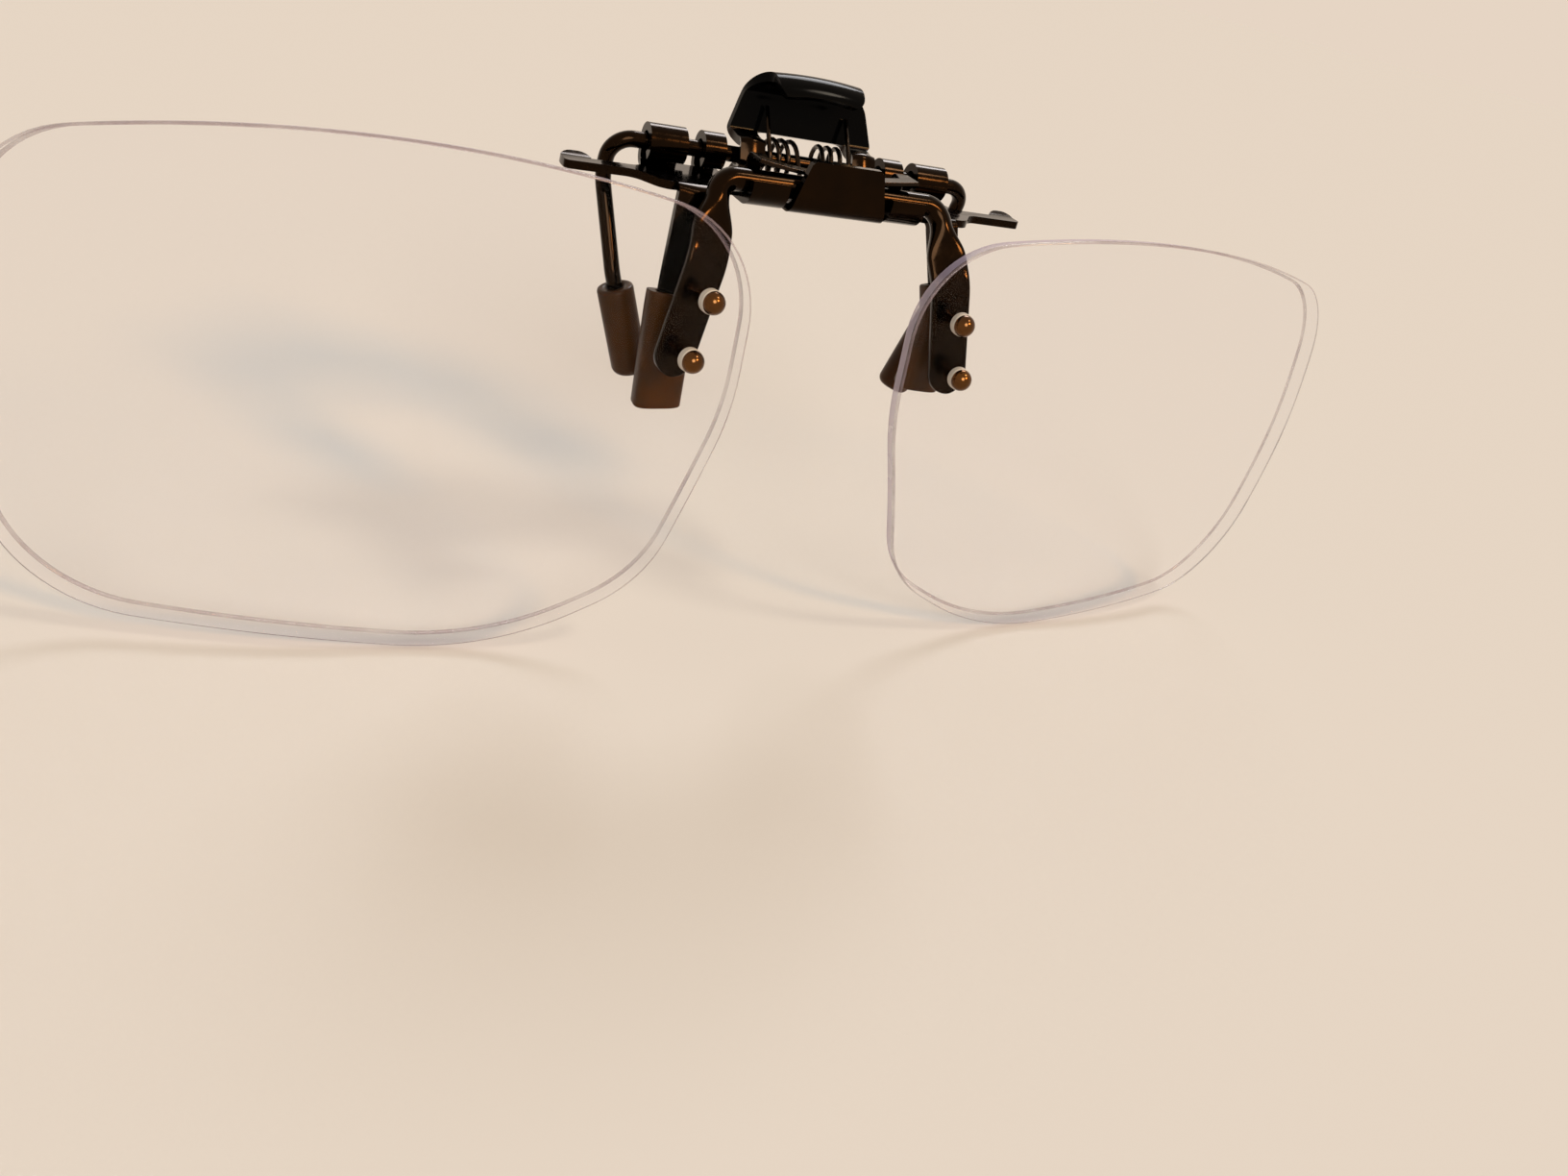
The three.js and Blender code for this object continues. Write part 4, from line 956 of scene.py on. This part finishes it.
class CLIPON_OT_spring(bpy.types.Operator):
    """Build the double torsion spring on the axle"""
    bl_idname = "clip_on.spring"
    bl_label = "Jaw spring"

    def execute(self, context):
        wires = sizes("clip_on_wires")
        clip = sizes("clip_on_clip")
        outer, inner = SPRING_OUTER * MM, SPRING_INNER * MM

        def on_coil(x, angle):
            """A point on the coil at a turn round the axle."""
            return Vector((
                x, AXLE.y + wires.coil * math.cos(angle), AXLE.z + wires.coil * math.sin(angle)))

        def round_coil(angle):
            """Direction of the wire at a turn round the axle."""
            return Vector((0, -math.sin(angle), math.cos(angle)))

        root = on_coil(outer, SPRING_LEG_ANGLE)
        leg_way = -round_coil(SPRING_LEG_ANGLE)
        rise = (mm(0, *TAB_BROW) - mm(0, *TAB_KNEE)).normalized()
        tab_front = Vector((0, -rise.z, rise.y))
        clear = clip.tab_sheet / 2 + GAP * MM + wires.spring
        leg = (clear - (root - mm(SPRING_OUTER, *TAB_KNEE)).dot(tab_front)) / leg_way.dot(tab_front)
        half = [root + leg_way * leg, root + leg_way * leg * 0.5]
        wound = SPRING_TURNS * TAU + SPRING_LOOP_ANGLE - SPRING_LEG_ANGLE
        for k in range(SPRING_STEPS + 1):
            share = k / SPRING_STEPS
            half.append(on_coil(outer + (inner - outer) * share, SPRING_LEG_ANGLE + wound * share))
        seat = clip.sheet + GAP * MM + wires.spring
        leave = half[-1]
        fall = round_coil(SPRING_LOOP_ANGLE)
        landing = leave + fall * ((leave.z - seat) / -fall.z)
        front = SPRING_LOOP_FRONT * MM
        loop = [leave, landing, Vector((inner, front, seat)), Vector((0, front, seat))]
        half += bent_path(loop, [SPRING_LOOP_BEND * MM] * 2, SPRING_LOOP_BEND_STEPS)[1:]
        half.reverse()
        bm = bmesh.new()
        first, last = round_wire(bm, half, wires.spring, SPRING_SIDES)
        for vert in first:
            vert.co.x = 0
        close_ring(bm, last)
        mirror_over_x(bm)
        made = piece("jaw_spring_wire", bm, [tempered_steel()], "jaw_spring")
        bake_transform(made, "bracket", "jaw", start=(0, 1.6 * MM, 1.2 * MM), end=(0, 6.9 * MM, 5.6 * MM))
        return {"FINISHED"}


# The jaw wire's right half, in millimetres

AXLE_END = 18
PRONG = [mm(18.1, 7.2, -1.0), mm(17.1, 3.2, -8.6), mm(14.3, 3.0, -16.8)]
JAW_BENDS = (2, 3, 2)
JAW_BEND_STEPS = 12
JAW_SIDES = 24


class CLIPON_OT_jaw_wire(bpy.types.Operator):
    """Build the axle and rear prongs, bent from one wire"""
    bl_idname = "clip_on.jaw_wire"
    bl_label = "Jaw wire"

    def execute(self, context):
        axle = [Vector((x * MM, AXLE.y, AXLE.z)) for x in (0, AXLE_END)]
        path = bent_path([*axle, *PRONG], [bend * MM for bend in JAW_BENDS], JAW_BEND_STEPS)
        bm = bmesh.new()
        _, last = round_wire(bm, path, sizes("clip_on_wires").jaw, JAW_SIDES)
        close_ring(bm, last)
        mirror_over_x(bm)
        made = piece("jaw_wire_bent", bm, [black_nickel()], "jaw_wire")
        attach(made, "jaw")
        return {"FINISHED"}


def tab_crimp(bm, knee):
    """Rolls the tab's leg round the axle. Returns its upper row of edges."""
    wrap = sizes("clip_on_wires").jaw + GAP * MM + sizes("clip_on_clip").tab_sheet / 2
    lean = knee - AXLE
    leaving = math.atan2(lean.z, lean.y) + math.acos(wrap / lean.length)
    start = leaving + math.radians(CRIMP_ROLL)
    y, z = AXLE.y + wrap * math.cos(start), AXLE.z + wrap * math.sin(start)
    verts = [bm.verts.new((x * MM, y, z)) for x in TAB_CRIMP_COLUMNS]
    row = [bm.edges.new(pair) for pair in zip(verts, verts[1:])]
    row = spun(bm, row, AXLE, -CRIMP_ROLL, CRIMP_STEPS)
    flat = Vector((0, -math.cos(CRIMP_SLOPE), math.sin(CRIMP_SLOPE)))
    for vert in bm.verts:
        from_axle = Vector((0, vert.co.y - AXLE.y, vert.co.z - AXLE.z))
        off_flat = from_axle.angle(flat)
        reach = wrap / math.cos(off_flat) if off_flat < CRIMP_FLAT else wrap
        if abs(vert.co.x - TAB_CRIMP_COLUMNS[1] * MM) < SAME_CORNER:
            reach += CRIMP_CROWN * MM
        vert.co += from_axle.normalized() * (reach - from_axle.length)
    return row


def tab_lip(brow):
    """Rows of the lip, rolled forwards from the brow and narrower towards its front."""
    rows = []
    centre = brow - mm(0, TAB_LIP_RADIUS, 0)
    for k in range(1, TAB_LIP_STEPS + 1):
        angle = math.radians(TAB_LIP_ROLL * k / TAB_LIP_STEPS)
        rise = TAB_LIP_RADIUS * math.sin(angle)
        half = tab_half(TAB_BROW[1] + rise)
        if angle > math.pi / 2:
            half = tab_half(TAB_BROW[1] + TAB_LIP_RADIUS) - TAB_LIP_NARROWING * (angle - math.pi / 2) ** 2
        # The last two rows round off the lip's corners.
        half -= (max(0, k - TAB_LIP_STEPS + 2) * TAB_LIP_CORNER) ** 2
        # The lip sags towards its ends, like the rim of a scoop.
        sag = TAB_LIP_SAG * math.sin(angle / 2)
        y = centre.y + TAB_LIP_RADIUS * math.cos(angle) * MM
        rows.append([
            (half * share * MM, y, centre.z + (rise - sag * share ** 2) * MM) for share in TAB_SHARES])
    return rows


class CLIPON_OT_thumb_tab(bpy.types.Operator):
    """Build the thumb tab: crimped legs, window, tapered plate and rolled lip"""
    bl_idname = "clip_on.thumb_tab"
    bl_label = "Thumb tab"

    def execute(self, context):
        knee = mm(0, *TAB_KNEE)
        brow = mm(0, *TAB_BROW)
        shin = knee - (knee - AXLE) * TAB_SHIN_SHARE
        bm = bmesh.new()
        row = rows_from(bm, tab_crimp(bm, knee), [
            [(x * MM, shin.y, shin.z) for x in TAB_SHIN_COLUMNS],
            [(x * MM, knee.y, knee.z) for x in (*TAB_KNEE_COLUMNS, tab_half(TAB_KNEE[1]))]])
        inner = min((vert for edge in row for vert in edge.verts), key=lambda v: v.co.x)
        sill = [bm.verts.new((x * MM, knee.y, knee.z)) for x in TAB_WINDOW_COLUMNS] + [inner]
        row += [bm.edges.new(pair) for pair in zip(sill, sill[1:])]
        plate = [knee.lerp(brow, k / TAB_PLATE_STEPS) for k in range(1, TAB_PLATE_STEPS + 1)]
        rows = [[(tab_half(p.z / MM) * share * MM, p.y, p.z) for share in TAB_SHARES] for p in plate]
        rows_from(bm, row, rows + tab_lip(brow))
        # The lacquer stops at the knee, and the legs keep their plating.
        for face in bm.faces:
            face.material_index = 0 if face.calc_center_median().z > knee.z else 1
        mirror_over_x(bm)
        made = piece(
            "thumb_tab_pressing", bm, [black_lacquer(), black_nickel()], "thumb_tab")
        subdivided(made, 2)
        solidified(made, sizes("clip_on_clip").tab_sheet)
        rounded(made, TAB_EDGE * MM)
        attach(made, "jaw")
        return {"FINISHED"}


# The rear sleeves, in millimetres along a prong from its end

REAR_SLEEVE_RADIUS = 1.65
REAR_SLEEVE_LENGTH = 8.3
REAR_SLEEVE_END = 0.9
REAR_SLEEVE_NOSE = 0.8
REAR_SLEEVE_NOSE_STEPS = 8
# Rounding of the sleeve's mouth, and how far its middle point lies in from the corner.
REAR_SLEEVE_MOUTH = 0.25
REAR_SLEEVE_MOUTH_MIDDLE = 0.07


class CLIPON_OT_rear_sleeves(bpy.types.Operator):
    """Build the round rubber sleeves on the rear prongs"""
    bl_idname = "clip_on.rear_sleeves"
    bl_label = "Rear sleeves"

    def execute(self, context):
        wires = sizes("clip_on_wires")
        bore = (wires.jaw + wires.sleeve_gap) / MM
        radius, end, nose = REAR_SLEEVE_RADIUS, REAR_SLEEVE_END, REAR_SLEEVE_NOSE
        mouth = end - REAR_SLEEVE_LENGTH
        profile = [
            (0, GAP), (bore, GAP), (bore, mouth), (radius - REAR_SLEEVE_MOUTH, mouth),
            (radius - REAR_SLEEVE_MOUTH_MIDDLE, mouth + REAR_SLEEVE_MOUTH_MIDDLE),
            (radius, mouth + REAR_SLEEVE_MOUTH),
        ]
        for k in range(REAR_SLEEVE_NOSE_STEPS + 1):
            angle = math.pi / 2 * k / REAR_SLEEVE_NOSE_STEPS
            profile.append((radius - nose * (1 - math.cos(angle)), end - nose + nose * math.sin(angle)))
        profile.append((0, end))
        axis = (PRONG[2] - PRONG[1]).normalized()
        for side, sign in SIDES:
            bm = bmesh.new()
            lathe(bm, [(r * MM, h * MM) for r, h in profile], SLEEVE_SIDES)
            placed(bm, PRONG[2], axis, sign)
            node = f"rear_sleeve_{side}"
            made = piece(f"{node}_rubber", bm, [amber_rubber()], node)
            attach(made, "jaw")
        return {"FINISHED"}


# The right-hand lens and its arm, in millimetres

LENS_WRAP = math.radians(6.3)
LENS_DEPTH = -8.0
LENS_HEIGHT = -18.9
# Corners of the outline as shares of half the width and half the height, and radii in half heights.
LENS_CORNERS = [
    (0, 1.091, 4.48), (-1, 0.839, 0.453), (-0.996, 0.113, 1.155), (-0.817, -0.695, 0.554),
    (-0.352, -1.035, 1.293), (0.983, -0.912, 0.508), (1.001, 0.087, 2.356), (0.931, 0.785, 0.439),
]
LENS_CORNER_STEPS = 40
LENS_SPOKES = 180
LENS_RINGS = 14
# Points of the flat disc, whose radius is 1, are joined when they lie this close.
LENS_DISC_JOINED = 1e-4
LENS_CHAMFER = 0.25
RIVET_INSET = 4.3
RIVET_RISE = 12.3
RIVET_PITCH = 5.1
ARM_LEAN = math.radians(11.3)
# How far the arm goes on above the upper rivet and below the lower one.
ARM_ABOVE = 2.9
ARM_BELOW = 2.3
ARM_FLATTENING = 3.2
ARM_FLATTENING_STEPS = 10
ARM_SQUARENESS = 0.35
ARM_EDGE = 0.08
ARM_SIDES = 32
# The arm's round end stops short of its point.
ARM_END_TURN = math.radians(83)
ARM_END_STEPS = 12
ROD_END = 10.7
FLIP_BENDS = (1.8, 5)
FLIP_BEND_STEPS = 12


def lens_normal(along, up):
    """Direction out of the lens's front, before the lens is turned into place."""
    curve = sizes("clip_on_lenses").curve
    return Vector((along, -math.sqrt(curve ** 2 - along ** 2 - up ** 2), up)).normalized()


def on_lens(along, up):
    """A place on the right lens's middle surface."""
    lens = sizes("clip_on_lenses")
    sag = lens.curve - math.sqrt(lens.curve ** 2 - along ** 2 - up ** 2)
    middle = lens.bridge / 2 + lens.width / 2 * math.cos(LENS_WRAP)
    centre = Vector((middle, LENS_DEPTH * MM, LENS_HEIGHT * MM))
    return Matrix.Rotation(LENS_WRAP, 3, "Z") @ Vector((along, sag, up)) + centre


def arm_frame():
    """Middle of the rivets' line, and the arm's directions down, across and out of its front."""
    lens = sizes("clip_on_lenses")
    spots = [(RIVET_INSET * MM - lens.width / 2 + k * RIVET_PITCH * MM * math.sin(ARM_LEAN),
              RIVET_RISE * MM - k * RIVET_PITCH * MM * math.cos(ARM_LEAN)) for k in (0, 1)]
    upper, lower = (on_lens(*spot) for spot in spots)
    down = (lower - upper).normalized()
    normal = lens_normal((spots[0][0] + spots[1][0]) / 2, (spots[0][1] + spots[1][1]) / 2)
    facing = Matrix.Rotation(LENS_WRAP, 3, "Z") @ normal
    across = facing.cross(down).normalized()
    return upper.lerp(lower, 0.5), down, across, down.cross(across).normalized()


def arm_thickness():
    """Thickness of the flattened arm, which keeps the wire's section."""
    wires = sizes("clip_on_wires")
    return math.pi * wires.flip ** 2 / wires.arm_width


class CLIPON_OT_flip_wire(bpy.types.Operator):
    """Build the flip wire: the hinge rod and the flattened lens arms"""
    bl_idname = "clip_on.flip_wire"
    bl_label = "Flip wire"

    def execute(self, context):
        wires = sizes("clip_on_wires")
        radius, half = wires.flip, wires.arm_width / 2
        strip = arm_thickness()
        middle, down, across, front = arm_frame()
        ahead = -(sizes("clip_on_lenses").thickness / 2 + GAP * MM + strip / 2)
        top = middle + down * (-RIVET_PITCH / 2 - ARM_ABOVE) * MM + front * ahead
        end = middle + down * (RIVET_PITCH / 2 + ARM_BELOW) * MM + front * ahead
        rod = [Vector((x * MM, ROD.y, ROD.z)) for x in (0, ROD_END)]
        path = bent_path([*rod, top, end], [bend * MM for bend in FLIP_BENDS], FLIP_BEND_STEPS)[:-1]
        flat_from = FLIP_BEND_STEPS + 1
        run = (path[flat_from + 1] - path[flat_from]).normalized()
        path[flat_from + 1:flat_from + 1] = [
            path[flat_from] + run * ARM_FLATTENING * MM * k / ARM_FLATTENING_STEPS
            for k in range(1, ARM_FLATTENING_STEPS + 1)]
        hints, halves, square = [], [], []
        for i in range(len(path)):
            share = min(max((i - flat_from) / ARM_FLATTENING_STEPS, 0), 1)
            flat = share * share * (3 - 2 * share)
            hints.append(UP.lerp(across, min(i / flat_from, 1)))
            halves.append((radius + (half - radius) * flat, radius + (strip / 2 - radius) * flat))
            square.append(1 + (ARM_SQUARENESS - 1) * flat)
        for k in range(ARM_END_STEPS + 1):
            angle = ARM_END_TURN * k / ARM_END_STEPS
            path.append(end + down * (half * (math.sin(angle) - 1)))
            hints.append(across)
            halves.append((half * math.cos(angle), strip / 2))
            square.append(ARM_SQUARENESS)
        bm = bmesh.new()
        _, last = swept(bm, path, hints, halves, square, ARM_SIDES)
        close_ring(bm, last)
        mirror_over_x(bm)
        made = piece("flip_wire_bent", bm, [black_nickel()], "flip_wire")
        rounded(made, ARM_EDGE * MM)
        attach(made, "lenses")
        return {"FINISHED"}


def lens_rim():
    """Points evenly along the lens's rounded outline."""
    lens = sizes("clip_on_lenses")
    wide, tall = lens.width / 2, lens.height / 2
    corners = [Vector((x * wide, y * tall, 0)) for x, y, _ in LENS_CORNERS]
    points = []
    for i, (_, _, radius) in enumerate(LENS_CORNERS):
        after = corners[(i + 1) % len(corners)]
        points += rounded_corner(corners[i - 1], corners[i], after, radius * tall, LENS_CORNER_STEPS)
    points.append(points[0])
    total = sum((b - a).length for a, b in zip(points, points[1:]))
    return [stretch(points, total * k / LENS_SPOKES, total)[0] for k in range(LENS_SPOKES)]


class CLIPON_OT_lenses(bpy.types.Operator):
    """Build the two curved lenses with their ground edges"""
    bl_idname = "clip_on.lenses"
    bl_label = "Lenses"

    def execute(self, context):
        rim = lens_rim()
        # The faces, the edge and the chamfer take these in order.
        layers = [coated_lens(), ground_edge(), lens_chamfer()]
        for side, sign in SIDES:
            bm = bmesh.new()
            # A flat disc of spokes and rings is drawn out to the rim and laid on the curve.
            radii = [(k / LENS_RINGS, 0) for k in range(LENS_RINGS + 1)]
            lathe(bm, radii, LENS_SPOKES, joined=LENS_DISC_JOINED)
            for vert in bm.verts:
                share = vert.co.length
                spoke = round(math.atan2(vert.co.y, vert.co.x) / TAU * LENS_SPOKES) % LENS_SPOKES
                place = rim[spoke] * share
                vert.co = on_lens(place.x, place.y)
            bmesh.ops.scale(bm, vec=(sign, 1, 1), verts=bm.verts)
            made = piece(f"lens_{side}_resin", bm, layers, f"lens_{side}")
            solidified(made, sizes("clip_on_lenses").thickness, rim_material=1)
            rounded(made, LENS_CHAMFER * MM, segments=2, material=2)
            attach(made, "lenses")
        return {"FINISHED"}


# The rivets and washers, in millimetres

WASHER_THICKNESS = 0.75
WASHER_EDGE = 0.08
SHANK_RADIUS = 0.55
TAIL_RADIUS = 0.9
TAIL_HEIGHT = 0.5
HEAD_EDGE = 0.06
HEAD_DOME = 0.9
HEAD_DOME_STEPS = 10
TURNED_SIDES = 36
# Room under the washer, under the head, before the tail and round the shank in the washer.
WASHER_GAP = 0.03
HEAD_GAP = 0.02
TAIL_GAP = 0.05
SHANK_GAP = 0.1
# The tail's rounded corner, as shares of its radius and height.
TAIL_CORNER = ((0.7, 1), (0.92, 0.75), (1, 0.4), (1, 0))
# The flat under a head, as a share of its radius.
HEAD_FLAT = 0.94


class CLIPON_OT_rivets(bpy.types.Operator):
    """Build the domed rivets and the washers under their heads"""
    bl_idname = "clip_on.rivets"
    bl_label = "Rivets and washers"

    def execute(self, context):
        lens = sizes("clip_on_lenses")
        middle, down, _, front = arm_frame()
        face = lens.thickness / 2
        base = face + WASHER_GAP * MM
        top = base + WASHER_THICKNESS * MM
        head = top + HEAD_GAP * MM
        tail = -(face + GAP * MM + arm_thickness() + TAIL_GAP * MM)
        shank = SHANK_RADIUS * MM
        rivet = [(0, tail - TAIL_HEIGHT * MM)]
        rivet += [(TAIL_RADIUS * MM * out, tail - TAIL_HEIGHT * MM * back) for out, back in TAIL_CORNER]
        rivet += [(shank, tail), (shank, head), (lens.head * HEAD_FLAT, head)]
        rim = head + HEAD_EDGE * MM
        for k in range(HEAD_DOME_STEPS):
            angle = math.pi / 2 * k / HEAD_DOME_STEPS
            rivet.append((lens.head * math.cos(angle), rim + HEAD_DOME * MM * math.sin(angle)))
        rivet.append((0, rim + HEAD_DOME * MM))
        bore, outside, edge = shank + SHANK_GAP * MM, lens.washer, WASHER_EDGE * MM
        washer = [
            (bore, base), (outside - edge, base), (outside, base + edge), (outside, top - edge),
            (outside - edge, top), (bore, top), (bore, base),
        ]
        for level, shift in (("upper", -RIVET_PITCH / 2), ("lower", RIVET_PITCH / 2)):
            at = middle + down * shift * MM
            for side, sign in SIDES:
                for kind, profile, maker, slot in (("rivet", rivet, polished_bronze, "rivet_bronze"),
                                                   ("washer", washer, natural_nylon, "washer_nylon")):
                    bm = bmesh.new()
                    lathe(bm, profile, TURNED_SIDES)
                    placed(bm, at, front, sign)
                    node = f"{level}_{kind}_{side}"
                    made = piece(f"{node}_turned", bm, [maker()], node)
                    made.data.set_sharp_from_angle(angle=SHARP_FROM)
                    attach(made, "lenses")
        return {"FINISHED"}


# The stage, in metres and degrees, with the camera's lens and sensor in millimetres

CAMERA_AT = (-0.05011, -0.09782, 0.02333)
CAMERA_TURN = (59.85, -12.67, -22.61)
CAMERA_LENS = 27.668
CAMERA_SENSOR = 36
CAMERA_CLIP_START = 0.002
FLOOR_RADIUS = 6
FLOOR_SEGMENTS = 96
FLOOR_BELOW = 0.0005
# Each light's name, direction from the part, spread, strength and colour.
STUDIO_LIGHTS = (
    ("front lamp", (-0.1, -0.88, 0.46), 28, 1.6, "#fffaf3"),
    ("window", (0.40, 0.62, 0.675), 20, 1.1, "#f3f3f6"),
    ("ceiling lamp", (0.446, -0.314, 0.834), 10, 0.6, "#fff0da"),
    ("warm lamp", (0.446, -0.70, 0.557), 10, 1.3, "#ffca88"),
)
# The backdrop has the colour that the lit floor has at the horizon.
BACKDROP = "#e6d5c4"
SKYLIGHT = "#f2f0ee"
SKYLIGHT_STRENGTH = 0.3


def lay_floor(scene):
    """Lays a plain floor just under the lenses."""
    low = min(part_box("lens_right")[0][2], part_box("lens_left")[0][2])
    bm = bmesh.new()
    bmesh.ops.create_circle(bm, cap_ends=True, segments=FLOOR_SEGMENTS, radius=FLOOR_RADIUS)
    bmesh.ops.translate(bm, vec=(0, 0, low - FLOOR_BELOW), verts=bm.verts)
    mesh = bpy.data.meshes.new("floor")
    bm.to_mesh(mesh)
    bm.free()
    floor = bpy.data.objects.new("floor", mesh)
    mesh.materials.append(pale_board())
    scene.collection.objects.link(floor)


def hang_lights(scene):
    """Hangs the soft lamps."""
    for name, towards, spread, strength, hex_colour in STUDIO_LIGHTS:
        data = bpy.data.lights.new(name, "SUN")
        data.angle = math.radians(spread)
        data.energy = strength
        data.color = linear(hex_colour)
        lamp = bpy.data.objects.new(name, data)
        lamp.rotation_euler = Vector(towards).to_track_quat("Z", "Y").to_euler()
        scene.collection.objects.link(lamp)


def set_backdrop(scene):
    """Sets a world that is seen, and mirrored, as the backdrop and lights the part softly."""
    world = bpy.data.worlds.new("studio")
    world.use_nodes = True
    tree = world.node_tree
    tree.nodes.clear()
    rays = add_node(tree, "ShaderNodeLightPath").outputs
    seen = add_node(tree, "ShaderNodeBackground", {"Color": rgba(linear(BACKDROP)), "Strength": 1.0})
    lit = add_node(
        tree, "ShaderNodeBackground", {"Color": rgba(linear(SKYLIGHT)), "Strength": SKYLIGHT_STRENGTH})
    mirrored = add_node(
        tree, "ShaderNodeMath", None, {0: rays["Is Camera Ray"], 1: rays["Is Glossy Ray"]},
        operation="MAXIMUM")
    shown = add_node(
        tree, "ShaderNodeMath", None, {0: mirrored.outputs["Value"], 1: rays["Is Transmission Ray"]},
        operation="MAXIMUM")
    mix = add_node(
        tree, "ShaderNodeMixShader", None,
        {"Fac": shown.outputs["Value"], 1: lit.outputs["Background"], 2: seen.outputs["Background"]})
    add_node(tree, "ShaderNodeOutputWorld", None, {"Surface": mix.outputs["Shader"]})
    scene.world = world


def stand_camera(scene):
    """Stands the camera at the photograph's viewing angle."""
    data = bpy.data.cameras.new("camera")
    data.sensor_width = CAMERA_SENSOR
    data.sensor_fit = "HORIZONTAL"
    data.lens = CAMERA_LENS
    data.clip_start = CAMERA_CLIP_START
    camera = bpy.data.objects.new("camera", data)
    camera.location = CAMERA_AT
    camera.rotation_euler = [math.radians(angle) for angle in CAMERA_TURN]
    scene.collection.objects.link(camera)
    scene.camera = camera


class CLIPON_OT_stage(bpy.types.Operator):
    """Build the floor, the backdrop, the lights and the camera"""
    bl_idname = "clip_on.stage"
    bl_label = "Stage"

    def execute(self, context):
        for step in (lay_floor, hang_lights, set_backdrop, stand_camera):
            step(context.scene)
        context.scene.view_settings.view_transform = "Standard"
        return {"FINISHED"}


OPERATORS = (
    CLIPON_OT_bracket, CLIPON_OT_leaf, CLIPON_OT_front_sleeves, CLIPON_OT_spring, CLIPON_OT_jaw_wire,
    CLIPON_OT_thumb_tab, CLIPON_OT_rear_sleeves, CLIPON_OT_flip_wire, CLIPON_OT_lenses, CLIPON_OT_rivets,
    CLIPON_OT_stage,
)


class CLIPON_PT_parts(bpy.types.Panel):
    """Lists the pieces in the order in which they are built"""
    bl_idname = "CLIPON_PT_parts"
    bl_label = "Clip-on lenses"
    bl_space_type = "VIEW_3D"
    bl_region_type = "UI"
    bl_category = "Clip-on"

    def draw(self, context):
        for operator in OPERATORS:
            self.layout.operator(operator.bl_idname)


GROUPS = {
    "clip_on_clip": ClipSizes, "clip_on_wires": WireSizes, "clip_on_lenses": LensSizes,
    "clip_on_finishes": Finishes,
}


def register():
    """Registers the groups of values, the operators and the panel."""
    for group in GROUPS.values():
        bpy.utils.register_class(group)
    for name, group in GROUPS.items():
        setattr(bpy.types.Scene, name, PointerProperty(type=group))
    for operator in OPERATORS:
        bpy.utils.register_class(operator)
    bpy.utils.register_class(CLIPON_PT_parts)


def unregister():
    """Takes away what register added."""
    bpy.utils.unregister_class(CLIPON_PT_parts)
    for operator in reversed(OPERATORS):
        bpy.utils.unregister_class(operator)
    for name, group in GROUPS.items():
        delattr(bpy.types.Scene, name)
        bpy.utils.unregister_class(group)


def main():
    """Builds every piece and the stage."""
    register()
    bpy.ops.clip_on.bracket()
    bpy.ops.clip_on.leaf()
    bpy.ops.clip_on.front_sleeves()
    bpy.ops.clip_on.spring()
    bpy.ops.clip_on.jaw_wire()
    bpy.ops.clip_on.thumb_tab()
    bpy.ops.clip_on.rear_sleeves()
    bpy.ops.clip_on.flip_wire()
    bpy.ops.clip_on.lenses()
    bpy.ops.clip_on.rivets()
    bpy.ops.clip_on.stage()


if __name__ == "__main__":
    main()
